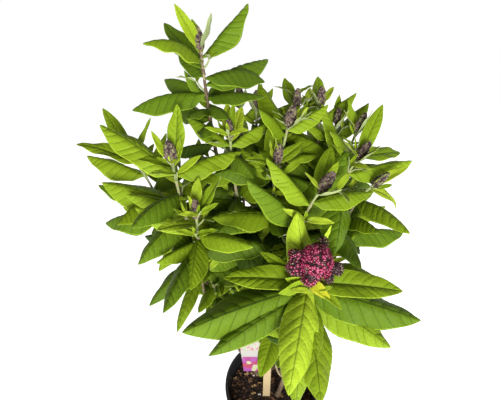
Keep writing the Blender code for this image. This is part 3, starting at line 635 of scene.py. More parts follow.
def growAxils(limbs, leaves, sprays, standing):
    for number, (name, shoot) in enumerate(shoots.items()):
        rule = random.Random(700 + number)
        limb = limbs[name]
        low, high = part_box("leaves_" + name)
        scale = shoot.get("scale", 1.0)
        for pair in range(1, shoot.get("pairs", 7)):
            drop = pairDrop(shoot, pair)
            for hand in (0, 1):
                bearing = shoot["twist"] + 90 * (pair % 2) + 180 * hand
                if rule.random() < axilLook["chance"]:
                    size = rule.uniform(*axilLook["sizes"])
                    tryAxil(name, limb, drop, bearing, size, rule, leaves, sprays, standing, low, high)
                if pair > 2 and rule.random() < axilLook["strayChance"]:
                    length = leafRule["length"][pair] * scale * rule.uniform(*axilLook["strayLength"])
                    tryStray(name, limb, drop, pair, bearing + 90, length, rule, leaves, standing, low, high)


def keepsInside(points, low, high):
    past = axilLook["pastBox"]
    above = (points.min(axis=0) > np.array(low) - past).all()
    return above and (points.max(axis=0) < np.array(high) + past).all()


def tryAxil(name, limb, drop, bearing, size, rule, leaves, sprays, standing, low, high):
    for turn in axilLook["turns"]:
        twig, blades = sprayOn(limb, drop - 0.002, bearing + turn + rule.uniform(-10, 10), size)
        if rule.random() < 0.5:
            inner = sprayRule["leaf"] * size * axilLook["innerShare"]
            blades += [leafOn(twig, 0.001, bearing + 180 * side, 22, inner, -12, 0.26) for side in (0, 1)]
        outer = [twig.below(d) for d in np.linspace(twig.length * 0.6, 0, 3)]
        solids = [plainBlade(blade) for blade in blades] + [plainTube(outer, sprayRule["radii"], 3)]
        tree = searchTree(solids)
        inside = keepsInside(np.concatenate([p for p, _ in solids]), low, high)
        if inside and not crosses(tree, standing, name, ("twig", "head")):
            standing.append((*tree, name, "axil"))
            leaves += [dict(blade, shoot=name, pair=0, kind="spray") for blade in blades]
            sprays.append(twig)
            return


def tryStray(name, limb, drop, pair, bearing, length, rule, leaves, standing, low, high):
    for turn, share in axilLook["strayTurns"]:
        opening = leafRule["opening"][pair] + rule.uniform(-20, 14)
        blade = leafOn(limb, drop + 0.004, bearing + turn, opening, length * share,
                       leafRule["bend"][pair] * rule.uniform(0.5, 1.1), leafRule["breadth"][pair])
        solid = plainBlade(blade)
        tree = searchTree([solid])
        if keepsInside(solid[0], low, high) and not crosses(tree, standing, name, ("twig", "head")):
            standing.append((*tree, name, "stray"))
            leaves.append(dict(blade, shoot=name, pair=pair, kind="free"))
            return


# Fine leaves

# Rows follow the lateral veins from the midrib out and forward to the toothed margin. Columns are shares of
# the half width, and quilt, groove and tooth are shares of the leaf's length or width.
leafLook = {
    "veins": 9,
    "rowShares": (0.0, 0.035, 0.26, 0.5, 0.74, 0.965),
    "columns": (-1, -0.94, -0.66, -0.36, -0.045, 0, 0.045, 0.36, 0.66, 0.94, 1),
    "smallVeins": 6,
    "smallRowShares": (0.0, 0.3, 0.7),
    "smallColumns": (-1, -0.88, -0.45, 0, 0.45, 0.88, 1),
    "under": (-0.94, -0.5, 0, 0.5, 0.94),
    "veinSweep": 1.9,
    "quilt": 0.0115,
    "groove": 0.010,
    "tooth": 0.011,
    "thickness": 0.00045,
    "ridge": 0.0011,
    "sprayLength": 0.88,
    "posedTurn": 0.3,
    "tallAge": "mature",
    "frontAges": {2: "lime", 3: "mature"},
}


# Width of a leaf along its length, 1 at its widest.
def leafWidth(s):
    s = np.clip(s, 0, 1)
    return 2.6 * s**0.6 * (1 - s) ** 0.8 * np.minimum(1, s / 0.12) ** 0.5


# Two directions turned together, the first one towards the second.
def spun(one, other, angle):
    c = np.cos(angle)[..., None]
    s = np.sin(angle)[..., None]
    return c * one + s * other, c * other - s * one


# Fine leaf as points, quads and a mark for each quad: 0 margin, 1 blade, 2 midrib, 3 vein, 4 underside.
# Midrib and vein quads take darker greens, painted shade in their grooves.
def fineLeaf(leaf, shape):
    length = leaf["length"]
    half = leaf["breadth"] * length / 2
    small = length < leafRule["longestSmall"]
    veins = leafLook["smallVeins" if small else "veins"]
    shares = leafLook["smallRowShares" if small else "rowShares"]
    columns = np.array(leafLook["smallColumns" if small else "columns"])
    phase = np.array([(k + f) for k in range(veins) for f in shares] + [veins])
    frac = np.mod(phase, 1)[:, None]
    u = np.broadcast_to(columns[None, :], (len(phase), len(columns)))
    # Veins stand at uneven distances, and those of one half a little ahead of the other's
    knots = np.arange(veins + 1) + np.concatenate([[0], shape["uneven"][:veins - 1], [0]])
    r = np.interp(phase, np.arange(veins + 1), knots)[:, None] / veins
    r = r + shape["stagger"] * np.tanh(12 * u) * np.sin(pi * r) / veins
    advance = leafLook["veinSweep"] * leaf["breadth"] * r * (1 - r)
    s = np.clip(r + np.minimum(advance, 0.95 * (1 - r)) * np.abs(u) ** 1.3, 0, 1)
    width = np.maximum(half * leafWidth(s), 0.0002 + 0.0009 * (1 - s))
    # Teeth and a slow wave along each margin
    edge = (np.abs(u) == 1) * leafLook["tooth"] * np.where(np.arange(len(phase)) % 2, 1, -1)[:, None]
    x = u * width * (1 + edge)
    start = np.where(u > 0, shape["phase"], shape["phase2"])
    wave = shape["wave"] * np.sin(2 * pi * (shape["waves"] * r + start))
    fold = shape["valley"] * np.abs(u) - shape["droop"] * u**2 + wave * u**2
    pillow = np.sin(pi * frac) ** 0.6 * np.sin(pi * np.abs(u) ** 0.6)
    quilt = pillow * leafLook["quilt"] * length * shape["quilt"]
    groove = (np.abs(u) < 0.01) * leafLook["groove"] * length * (1 - s)
    lift = width * fold + quilt - groove
    fine = np.linspace(0, 1, 41)
    middle = (fine[1:] + fine[:-1]) / 2
    first, normal = leaf["first"], leaf["normal"]
    side = np.cross(first, normal)

    # Frame of the blade at a share of its length: ahead, across and up, with a sideways sweep and a twist
    def frameAt(share):
        up, ahead = spun(normal, first, np.radians(leaf["bend"]) * share**1.2)
        ahead, over = spun(ahead, side, shape["sweep"] * share)
        over, up = spun(over, up, shape["twist"] * share)
        return ahead, over, up

    steps = frameAt(middle)[0] * length / 40
    line = np.vstack([leaf["root"], leaf["root"] + np.cumsum(steps, axis=0)])
    at = np.stack([np.interp(s, fine, line[:, k]) for k in range(3)], axis=-1)
    ahead, over, up = frameAt(s)
    top = at + over * x[..., None] + up * lift[..., None]
    under = np.array(leafLook["under"])
    pick = [int(np.argmin(np.abs(columns - c))) for c in under]
    ridge = leafLook["ridge"] * (1 - s[:, pick]) ** 1.5 * (np.abs(under) < 0.01)
    down = leafLook["thickness"] + ridge - groove[:, pick] * 0.3
    low = top[:, pick] - up[:, pick] * down[..., None]
    rows, wide = u.shape
    topIndex = np.arange(rows * wide).reshape(rows, wide)
    lowIndex = rows * wide + np.arange(rows * len(pick)).reshape(rows, len(pick))
    lowIndex = np.concatenate([topIndex[:, :1], lowIndex, topIndex[:, -1:]], axis=1)
    quads = []
    marks = []
    for i in range(rows - 1):
        # Quads along a sunken lateral vein get the darker vein greens, painted shade in the vein's groove
        veinShadeRow = not small and (i % len(shares) in (0, len(shares) - 1)) and i > 1
        for k in range(wide - 1):
            quads.append((topIndex[i, k], topIndex[i + 1, k], topIndex[i + 1, k + 1], topIndex[i, k + 1]))
            inner = abs(columns[k] + columns[k + 1]) / 2
            marks.append(0 if k in (0, wide - 2) else 2 if inner < 0.04 else 3 if veinShadeRow else 1)
        for k in range(lowIndex.shape[1] - 1):
            quads.append((lowIndex[i, k + 1], lowIndex[i + 1, k + 1], lowIndex[i + 1, k], lowIndex[i, k]))
            marks.append(4)
    points = np.concatenate([top.reshape(-1, 3), low.reshape(-1, 3)])
    return points, quads, marks


# By age: greens of the blades, then of the veins and the midrib, darker than the blade as painted shade in
# their grooves, then of the margin and the felted underside
leafColours = {
    "yellow": (("#a5a722", "#9ca126"), "#989222", "#868328", "#b0a83a", "#a9a869"),
    "lime": (("#96ae28", "#9db42e"), "#879d24", "#6f8420", "#aabf40", "#a2a96c"),
    "young": (("#8b9e24", "#95a92a", "#80961e"), "#7e8d24", "#6f7d20", "#a0b038", "#98a36c"),
    "fresh": (("#6f8616", "#778f1b", "#657c12"), "#5e7412", "#546a14", "#90a72c", "#8a9765"),
    "mature": (("#536c13", "#4c6410", "#5b7417", "#455b0f"), "#42580f", "#384b10", "#7a9324", "#7c8a5c"),
    # Deep greens: partly older leaves, partly painted shade of the leaves inside the crown
    "deep": (("#384d12", "#324710", "#3e5418"), "#314510", "#26370e", "#566f20", "#6d7b50"),
}


# Living leaf, felted below and finely netted above: satin, with a grain the size of its smallest veins.
def makeLeafMaterials():
    materials = []
    index = {}
    for age, (blades, shadedVein, shadedMidrib, margin, under) in leafColours.items():
        kinds = [("blade", colour) for colour in blades]
        # Vein and midrib greens are darker than the blade, painted shade in their grooves
        kinds += [("shadedVein", shadedVein), ("shadedMidrib", shadedMidrib), ("margin", margin)]
        for kind, colour in kinds:
            index.setdefault((age, kind), []).append(len(materials))
            name = f"leaf_{age}_{kind}_{len(index[age, kind])}"
            materials.append(finish(name, colour, 0.55, 1.3, 0.15, ior=1.42, rougher=0.08, cellMm=5.0,
                                    cellReliefMm=0.28, Specular_IOR_Level=0.1))
        index[age, "under"] = [len(materials)]
        materials.append(finish(f"leaf_{age}_felted_underside", under, 0.8, 0.5, 0.1, ior=1.4,
                                Specular_IOR_Level=0.3))
    return materials, index


# Which greens a leaf is dealt, by how far below the tip it sits. Pairs below the open flower are pale or dark
# against their neighbours, and the tall shoot's leaves are older than their pairs tell, apart from one. Free
# leaves low in the crown may take the deep greens: partly darker with age, partly painted shade inside the
# crown.
def leafGreens(leaf, index, rng):
    pair = leaf["pair"]
    rightward = leaf["first"][0] >= 0
    if leaf["kind"] in leafColours:
        age = leaf["kind"]
    elif leaf["kind"] == "spray" or (pair <= 1 and leaf["length"] < 0.06 and leaf["shoot"] != "front"):
        age = "young" if rng.random() < 0.7 else "fresh"
    elif leaf["shoot"] == "front" and leaf["kind"] == "posed":
        age = "mature" if pair == 5 and not rightward else leafLook["frontAges"].get(pair, "fresh")
    elif pair <= 2:
        age = "fresh"
    elif pair == 3 or leaf["kind"] == "posed":
        age = "fresh" if rng.random() < 0.5 else "mature"
    else:
        # Low free leaves inside the crown: the deep greens are partly age and partly painted shade
        age = "mature" if pair == 4 or rng.random() < 0.5 else "deep"
    blade = rng.choice(index[age, "blade"])
    if leaf["shoot"] == "tall" and leaf["kind"] == "posed" and pair > 0 and (pair != 2 or rightward):
        age = leafLook["tallAge"]
        blade = index[age, "blade"][pair % len(index[age, "blade"])]
    # Midrib and vein quads take the darker greens painted as shade in their grooves
    marks = {0: "margin", 2: "shadedMidrib", 3: "shadedVein", 4: "under"}
    return {1: blade, **{mark: index[age, kind][0] for mark, kind in marks.items()}}


def leafShape(leaf, rng):
    posed = leafLook["posedTurn"] if leaf["kind"] == "posed" else 1.0
    young = leaf["kind"] == "spray" or leaf["pair"] <= 1
    return {
        "valley": rng.uniform(0.2, 0.5) if young else rng.uniform(-0.85, -0.4),
        "droop": rng.uniform(0.1, 0.3) if young else rng.uniform(0.15, 0.4),
        "wave": rng.uniform(0.08, 0.24),
        "waves": rng.uniform(1.4, 2.6),
        "phase": rng.random(),
        "phase2": rng.random(),
        "sweep": radians(rng.uniform(-16, 16)) * posed,
        "twist": radians(rng.uniform(-24, 24)) * posed,
        "quilt": rng.uniform(0.8, 1.2) * (0.7 if young else 1.0),
        "uneven": [rng.uniform(-0.22, 0.22) for _ in range(leafLook["veins"])],
        "stagger": rng.uniform(-0.3, 0.3),
    }


leafGroups = {
    "leavesLeft": ("left", "low_left"),
    "leavesFarLeft": ("far_left", "rear_left"),
    "leavesLowLeft": ("low_left_side", "low_left_back", "low_left_front", "low_middle"),
    "leavesTop": ("tall", "middle"),
    "leavesBack": ("back_left", "back_middle", "rear_middle"),
    "leavesMiddle": ("centre", "high_middle", "inner_middle"),
    "leavesHigh": ("high_back", "far_back", "back_right", "rear_right"),
    "leavesRight": ("right", "right_high"),
    "leavesFarRight": ("far_right", "right_side", "inner_right", "front_middle"),
    "leavesFront": ("front", "low_front"),
}


def dressLeaves(leaves):
    materials, index = makeLeafMaterials()
    rng = random.Random(3)
    parts = {name: [] for name in leafGroups}
    groupOf = {shoot: name for name, members in leafGroups.items() for shoot in members}
    for leaf in leaves:
        if leaf["kind"] == "spray":
            leaf = dict(leaf, length=leaf["length"] * leafLook["sprayLength"])
        points, quads, marks = fineLeaf(leaf, leafShape(leaf, rng))
        greens = leafGreens(leaf, index, rng)
        parts[groupOf[leaf["shoot"]]].append((points, quads, [greens[m] for m in marks]))
    for name, members in leafGroups.items():
        piece = joinedPiece(name, parts[name], materials)
        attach(piece, "root")
        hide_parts(*[f"leaves_{shoot}" for shoot in members])
        print(name, len(parts[name]), "leaves,", 2 * len(piece.data.polygons), "triangles")


# Stems

# Bark takes the tone of its age, told by the distance below the tip. The tall stem is brown higher up.
stemLook = {
    "sides": 10,
    "step": 0.004,
    "leafyStep": 0.003,
    "ridge": 0.10,
    "square": 0.06,
    "nodeSwell": 0.35,
    "nodeSpan": 0.004,
    "collar": 0.35,
    "collarSpan": 0.01,
    "brownFrom": 0.30,
    "tanFrom": 0.9,
    "paleFrom": 0.03,
    "evenTone": 0.85,
    "older": {"tall": 0.27},
    "twigRadii": (0.0014, 0.0011, 0.001, 0.0008),
}


# Wood of one shoot from its foot to its tip: rings with bark ridges and a swelling at each pair of leaves.
def barkedLimb(limb, shoot, foot, older, rng):
    leafy = leafyLength(shoot)
    drops = np.concatenate([np.arange(foot, leafy, -stemLook["step"]),
                            np.arange(leafy, 0, -stemLook["leafyStep"]), [0.0]])
    pairs = [pairDrop(shoot, k) for k in range(shoot.get("pairs", 7))]
    points = []
    slots = []
    edge = None
    sides = stemLook["sides"]
    for i, drop in enumerate(drops):
        at = limb.below(drop) - limb.direction(limb.length) * max(drop - limb.length, 0)
        ahead = limb.direction(min(drop, limb.length - 0.005))
        edge = across(ahead)[0] if edge is None else unit(edge - np.dot(edge, ahead) * ahead)
        other = np.cross(ahead, edge)
        radius = woodRadius(limb, shoot, drop)
        for pair in pairs:
            radius *= 1 + stemLook["nodeSwell"] * np.exp(-((drop - pair) / stemLook["nodeSpan"]) ** 2)
        up = limb.length - drop
        if "mother" in shoot:
            radius *= 1 + stemLook["collar"] * np.exp(-max(up, 0) / stemLook["collarSpan"])
        else:
            radius *= 1 + (wood["footFlare"] - 1) * np.exp(-max(up, 0) / (wood["flareHeight"] * 0.5))
        rough = stemLook["ridge"] * min(1.0, drop / leafy * 0.6)
        for k in range(sides):
            a = 2 * pi * k / sides
            bark = noise.noise(Vector((3 * cos(a), 3 * sin(a), drop * 60 + at[0] * 40)))
            square = stemLook["square"] * cos(4 * a) * max(0.0, 1 - drop / leafy)
            points.append(at + outward(edge, other, a) * radius * (1 + rough * bark + square))
        if i:
            old = drop + older + rng.uniform(-0.03, 0.03)
            starts = (stemLook["brownFrom"], leafy * stemLook["tanFrom"], stemLook["paleFrom"])
            tone = next((k for k, start in enumerate(starts) if old > start), 3)
            slots += [tone if rng.random() < stemLook["evenTone"] else min(tone + 1, 3) for _ in range(sides)]
    split = int(np.searchsorted(-drops, -leafy)) * sides
    return np.array(points), ringFaces(0, len(drops), sides), slots, split


def dressWood(limbs, sprays):
    # Young butterfly-bush bark: brown and finely split low down, pale and felted above
    materials = [
        finish("bark_brown_split", "#584734", 0.85, 0.9, 0.5, stretch=(1, 1, 0.25)),
        finish("bark_tan", "#74654a", 0.82, 0.8, 0.35, stretch=(1, 1, 0.3)),
        finish("bark_pale_felted", "#938a66", 0.8, 0.6, 0.2, stretch=(1, 1, 0.5)),
        finish("stem_green_felted", "#8d9760", 0.75, 0.5, 0.15),
    ]
    rng = random.Random(5)
    lower = []
    upper = []
    for name, limb in limbs.items():
        shoot = shoots[name]
        foot = limb.length if "mother" in shoot else limb.length + 0.003
        points, faces, slots, split = barkedLimb(limb, shoot, foot, stemLook["older"].get(name, 0), rng)
        lower.append((points, faces[:split], slots[:split]))
        upper.append((points, faces[split:], slots[split:]))
    for twig in sprays:
        places = [twig.below(d) for d in np.linspace(twig.length, 0, 4)]
        points, faces = plainTube(places, stemLook["twigRadii"], 6)
        upper.append((points, faces, [3] * len(faces)))
    boughs = joinedPiece("barkedStems", [trimmed(part) for part in lower], materials)
    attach(boughs, "root")
    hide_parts(*[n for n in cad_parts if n.startswith(("stem_", "bough_"))])
    twigs = joinedPiece("leafyTwigs", [trimmed(part) for part in upper], materials)
    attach(twigs, "root")
    print("stems", len(boughs.data.polygons), "and twigs", len(twigs.data.polygons), "faces")


# Drops the points that no face of a part uses.
def trimmed(part):
    points, faces, slots = part
    used = sorted({i for face in faces for i in face})
    place = {old: new for new, old in enumerate(used)}
    return points[used], [tuple(place[i] for i in face) for face in faces], slots


# Buds and flowers

budLook = {"pitch": 0.0021, "bead": 0.0014, "core": 0.82, "share": 1.15, "stout": -0.6, "full": 0.97,
           "depth": 0.86, "lean": 0.55}


# Small rounded scale on a surface: a ring, a narrower ring and a point.
def bead(at, out, up, size, length, sides=6):
    right = unit(np.cross(up, out))
    over = np.cross(out, right)
    points = []
    for share, height in ((1.0, 0.0), (0.8, 0.55)):
        for k in range(sides):
            a = 2 * pi * k / sides
            points.append(at + outward(right, over, a) * size * share + out * length * height)
    points.append(at + out * length)
    faces = [(k, (k + 1) % sides, sides + (k + 1) % sides, sides + k) for k in range(sides)]
    faces += [(sides + k, sides + (k + 1) % sides, 2 * sides) for k in range(sides)]
    return np.array(points), faces


# Flower bud cone: overlapping scales in rings round a core. The core takes the dark purple scale colour,
# painted shade in the gaps between the scales.
def budCone(limb, rng, size):
    base = limb.below(0.003)
    axis, right, away = limb.axes(0)
    # Large buds are stout rather than long
    stout = size ** budLook["stout"]
    profile = [(r * budLook["share"], h * budLook["share"] * stout) for r, h in budProfile(size)]
    heights = [h for _, h in profile]
    radii = [r for r, _ in profile]
    core = turnedShape(base, axis, [(r * budLook["core"], h * budLook["full"]) for r, h in profile], 10)
    # Dark purple core: painted shade seen between the scales
    parts = [(core[0], core[1], [1] * len(core[1]))]
    height = 0.001
    row = 0
    while height < profile[-1][1] * budLook["full"]:
        radius = float(np.interp(height, heights, radii)) * 0.9
        count = max(3, int(2 * pi * radius / budLook["pitch"]))
        for k in range(count):
            a = 2 * pi * (k + 0.5 * (row % 2)) / count + rng.uniform(-0.1, 0.1)
            out = outward(right, away, a)
            lean = unit(out + axis * budLook["lean"])
            scale = budLook["bead"] * rng.uniform(0.8, 1.15)
            place = base + axis * height + out * radius * budLook["depth"]
            points, faces = bead(place, lean, axis, scale, scale * 1.3)
            tone = 0 if rng.random() < 0.5 else 1 if rng.random() < 0.7 else 2
            parts.append((points, faces, [tone] * len(faces)))
        height += budLook["pitch"] * 0.8
        row += 1
    return parts


def dressBuds(limbs):
    # Bud scales are dull and downy, grey-brown to dark purple, a few still green
    materials = [
        finish("bud_scale_grey_brown", "#6c5b50", 0.85, 0.4, 0.1),
        finish("bud_scale_dark_purple", "#3b2c2d", 0.8, 0.4, 0.1),
        finish("bud_scale_green_grey", "#7d7c52", 0.85, 0.4, 0.1),
    ]
    rng = random.Random(21)
    parts = []
    for name, shoot in shoots.items():
        if not shoot.get("flower") and shoot.get("bud", 1):
            parts += budCone(limbs[name], rng, shoot.get("bud", 1))
    buds = joinedPiece("coneBuds", parts, materials)
    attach(buds, "root")
    print("buds", len(buds.data.polygons), "faces")


# Tones are shares of the materials, for open florets of large and of small clusters, and for shut ones
flowerLook = {
    "pitch": 0.0027,
    "petal": 0.0018,
    "petalWidth": 0.0011,
    "cup": 0.0003,
    "tube": 0.003,
    "eye": 0.00036,
    "eyeRise": 0.0006,
    "lump": 0.0030,
    "shutSize": (0.0009, 0.0028),
    "large": 0.01,
    "largeTones": (0.42, 0.22, 0.06, 0.3),
    "smallTones": (0.3, 0.05, 0, 0.65),
    "shutTones": (0.55, 0.33, 0.12),
}

# Clusters of the head: rightward, away and up from its middle, radius, length, and the share still shut
flowerClusters = ((0.0037, 0.0028, 0.0030, 0.0185, 0.039, 0.28),
                  (-0.0178, 0.0000, -0.0040, 0.0092, 0.019, 0.66),
                  (-0.0160, 0.0080, 0.0040, 0.0075, 0.016, 0.4),
                  (-0.0022, -0.0117, -0.0067, 0.0092, 0.018, 0.42),
                  (0.0270, -0.0010, -0.0075, 0.0074, 0.015, 1.0),
                  (0.0180, -0.0080, -0.0110, 0.0060, 0.012, 1.0),
                  (0.0139, 0.0235, 0.0075, 0.0042, 0.012, 1.0))


# One floret: a short tube and four blunt lobes.
def floret(at, out, rng):
    right, away = across(out)
    a = rng.uniform(0, pi / 2)
    right, away = outward(right, away, a), away * cos(a) - right * sin(a)
    mouth = at + out * flowerLook["tube"] * rng.uniform(0.7, 1.2)
    points = []
    faces = []
    for k in range(4):
        b = pi / 2 * k
        side = outward(right, away, b)
        over = np.cross(out, side)
        w = flowerLook["petalWidth"] / 2
        cup = flowerLook["cup"]
        p = flowerLook["petal"] * rng.uniform(0.85, 1.15)
        n = len(points)
        points += [mouth + side * cup - over * w * 0.6, mouth + side * cup + over * w * 0.6,
                   mouth + side * p * 0.65 + over * w + out * cup,
                   mouth + side * p * 0.65 - over * w + out * cup, mouth + side * p + out * 0.0001]
        faces += [(n, n + 1, n + 2, n + 3), (n + 3, n + 2, n + 4)]
    n = len(points)
    for k in range(4):
        b = pi / 2 * k + pi / 4
        side = outward(right, away, b)
        points += [at + side * 0.0005, mouth + side * 0.0007]
    faces += [(n + 2 * k, n + 2 * ((k + 1) % 4), n + 2 * ((k + 1) % 4) + 1, n + 2 * k + 1) for k in range(4)]
    # Pale eye in the mouth
    eye = flowerLook["eye"]
    points += [mouth + out * flowerLook["eyeRise"] + right * i * eye + away * j * eye
               for i, j in ((1, 1), (-1, 1), (-1, -1), (1, -1))]
    faces.append((n + 8, n + 9, n + 10, n + 11))
    return np.array(points), faces


# One cluster of florets over a core in the darkest bud colour, painted shade in the gaps between the florets.
def flowerCluster(middle, axis, radius, length, shut, rng):
    right, away = across(axis)
    base = middle - axis * length / 2
    wide = flowerShape["radius"]
    deep = flowerShape["depth"]
    profile = [(r * radius / wide, h * length / deep) for r, h in flowerProfile()]
    heights = [h for _, h in profile]
    radii = [r for r, _ in profile]
    core = turnedShape(base, axis, [(r * 0.8, h * 0.9 + length * 0.05) for r, h in profile], 12)
    # Core in the dark bud purple: painted shade between the florets
    parts = [(core[0], core[1], [4] * len(core[1]))]
    count = int(2 * pi * radius * length / flowerLook["pitch"] ** 2)
    openTones = flowerLook["largeTones" if radius > flowerLook["large"] else "smallTones"]
    for i in range(count):
        height = length * (0.03 + 0.95 * (i + 0.5) / count)
        around = float(np.interp(height, heights, radii))
        a = i * pi * (3 - 5**0.5)
        out = outward(right, away, a)
        above, below = (np.interp(height + step, heights, radii) for step in (0.002, -0.002))
        normal = unit(out - axis * (float(above - below) / 0.004))
        spot = base + axis * height + out * around
        lump = noise.noise(Vector(spot * 110)) * flowerLook["lump"]
        at = spot - normal * (min(flowerLook["tube"], radius * 0.35) - lump)
        if rng.random() < shut:
            points, faces = bead(at + normal * 0.001, normal, axis, *flowerLook["shutSize"], 5)
            tones = rng.choices((4, 5, 7), flowerLook["shutTones"]) * len(faces)
        else:
            lean = 0.3 * np.array([rng.uniform(-1, 1) for _ in range(3)])
            points, faces = floret(at, unit(normal + lean), rng)
            tones = rng.choices((0, 1, 2, 3), openTones) * (len(faces) - 1) + [6]
        parts.append((points, faces, tones))
    return parts


def dressFlower(limbs):
    # Florets are matt and velvety, crimson with pale eyes among dark unopened ones
    materials = [
        finish("floret_crimson", "#94103f", 0.65, 0.4, 0.05),
        finish("floret_magenta", "#a51b52", 0.65, 0.4, 0.05),
        finish("floret_rose", "#b8476f", 0.65, 0.4, 0.05),
        finish("floret_wine", "#6d0c2f", 0.7, 0.4, 0.05),
        finish("floret_bud_purple", "#2c131a", 0.75, 0.4, 0.1),
        finish("floret_bud_brown", "#6b4f45", 0.75, 0.4, 0.1),
        finish("floret_eye_pale", "#c98aa2", 0.7, 0.4, 0.05),
        finish("floret_bud_grey", "#8d7a6e", 0.75, 0.4, 0.1),
    ]
    rng = random.Random(33)
    limb = limbs["front"]
    axis, right, away = limb.axes(0)
    middle = limb.below(0.004) + axis * flowerShape["depth"] / 2
    parts = []
    for x, y, z, radius, length, shut in flowerClusters:
        parts += flowerCluster(middle + right * x + away * y + axis * z, axis, radius, length, shut, rng)
    head = joinedPiece("flowerHead", parts, materials)
    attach(head, "root")
    print("flower head", len(head.data.polygons), "faces")


# Pot

# Edges are rounded by points inward and upward from the rim, the shoulder and the inner lip, in metres
potLook = {
    "height": 0.135,
    "rim": 0.085,
    "lipWidth": 0.0055,
    "lipDepth": 0.014,
    "foot": 0.063,
    "footEdge": ((-0.004, 0), (-0.001, 0.0004), (0, 0.0018)),
    "wall": 0.0017,
    "floor": 0.0026,
    "segments": 128,
    "sideRings": 12,
    "ribs": 32,
    "ribDepth": 0.00035,
    "ribClear": 0.004,
    "sharpFrom": 50,
    "shoulder": ((0, -0.003), (0.0004, -0.0008), (0.0012, 0)),
    "lipFoot": ((-0.0014, 0), (-0.0006, 0.0005), (-0.0003, 0.0016), (-0.0001, 0.006)),
    "lipTop": ((0, -0.0030), (-0.0002, -0.0014), (-0.0009, -0.0004), (-0.0020, 0)),
    "lipInner": ((0.0018, 0), (0.0007, -0.0004), (0.0001, -0.0014)),
}


def potInner(height):
    top = potLook["rim"] - potLook["lipWidth"]
    low = potLook["foot"] - potLook["wall"]
    return low + (top - low) * height / potLook["height"]


def dressPot():
    # Injection-moulded black polypropylene: dark grey in the light, a soft gloss and a faint spark grain
    plastic = finish("polypropylene_moulded_black", "#1c1d1f", 0.33, 0.8, 0.03, ior=1.49, rougher=0.07)
    h = potLook["height"]
    lip = h - potLook["lipDepth"]
    foot = potLook["foot"]
    shoulder = potInner(lip) + potLook["wall"]
    rings = potLook["sideRings"]
    footTop = potLook["footEdge"][-1][1]
    rise = lip + potLook["shoulder"][0][1] - footTop
    profile = [(0, 0)] + [(foot + x, z) for x, z in potLook["footEdge"]]
    profile += [(foot + (shoulder - foot) * k / rings, footTop + rise * k / rings) for k in range(1, rings)]
    for edge, radius, height in (("shoulder", shoulder, lip), ("lipFoot", potLook["rim"], lip),
                                 ("lipTop", potLook["rim"], h), ("lipInner", potInner(h), h)):
        profile += [(radius + x, height + z) for x, z in potLook[edge]]
    profile += [(potInner(z), z) for z in (h - 0.006, 0.1, 0.004)]
    profile += [(potInner(0.004) - 0.002, potLook["floor"]), (0, potLook["floor"])]
    points, faces = turnedShape(np.zeros(3), np.array([0, 0, 1.0]), profile, potLook["segments"])
    # Shallow moulded ribs on the side wall
    radius = np.hypot(points[:, 0], points[:, 1])
    clear = potLook["ribClear"]
    side = (points[:, 2] > clear) & (points[:, 2] < lip - clear) & (radius > potInner(0) + 0.0012)
    angle = np.arctan2(points[:, 1], points[:, 0])
    rib = np.where(side, potLook["ribDepth"] * (np.abs(np.sin(angle * potLook["ribs"] / 2)) - 1), 0)
    points[:, :2] *= ((radius + rib) / np.maximum(radius, 1e-9))[:, None]
    pot = joinedPiece("nurseryPot", [(points, faces, [0] * len(faces))], [plastic])
    pot.data.set_sharp_from_angle(angle=radians(potLook["sharpFrom"]))
    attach(pot, "root")
    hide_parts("pot")
    print("pot", len(faces), "faces")


# Potting soil

soilLook = {
    "crown": 0.0035,
    "sunk": 0.0006,
    "rings": 26,
    "segments": 96,
    "rough": 0.0022,
    "crumbs": 1500,
    "chips": 190,
    "crumbSize": (0.0014, 0.0042),
    "chipSize": (0.003, 0.0075),
    "crumbTones": (0.5, 0.38, 0.12),
    "chipTones": (0.5, 0.42, 0.08),
}


# Angular crumb: a box whose corners are pushed about.
def crumb(at, size, flat, rng):
    turn = rng.uniform(0, 2 * pi)
    tip = rng.uniform(-0.5, 0.5)
    long = np.array([cos(turn) * cos(tip), sin(turn) * cos(tip), sin(tip)])
    right, away = across(long)
    points = []
    for i in (-1, 1):
        for j in (-1, 1):
            for k in (-1, 1):
                push = 1 + rng.uniform(-0.3, 0.3)
                points.append(at + (long * i * 0.5 + right * j * 0.32 + away * k * flat) * size * push)
    faces = [(0, 1, 3, 2), (4, 6, 7, 5), (0, 4, 5, 1), (2, 3, 7, 6), (0, 2, 6, 4), (1, 5, 7, 3)]
    return np.array(points), faces


# The soil is rough all over and falls away a little towards the pot's wall.
def soilHeight(x, y):
    r = (x * x + y * y) ** 0.5 / potInner(soilTop)
    crown = soilTop - soilLook["sunk"] - soilLook["crown"] * max(0.0, r - 0.6) / 0.4
    return crown + soilLook["rough"] * noise.noise(Vector((x * 70, y * 70, 0))) - soilLook["sunk"]


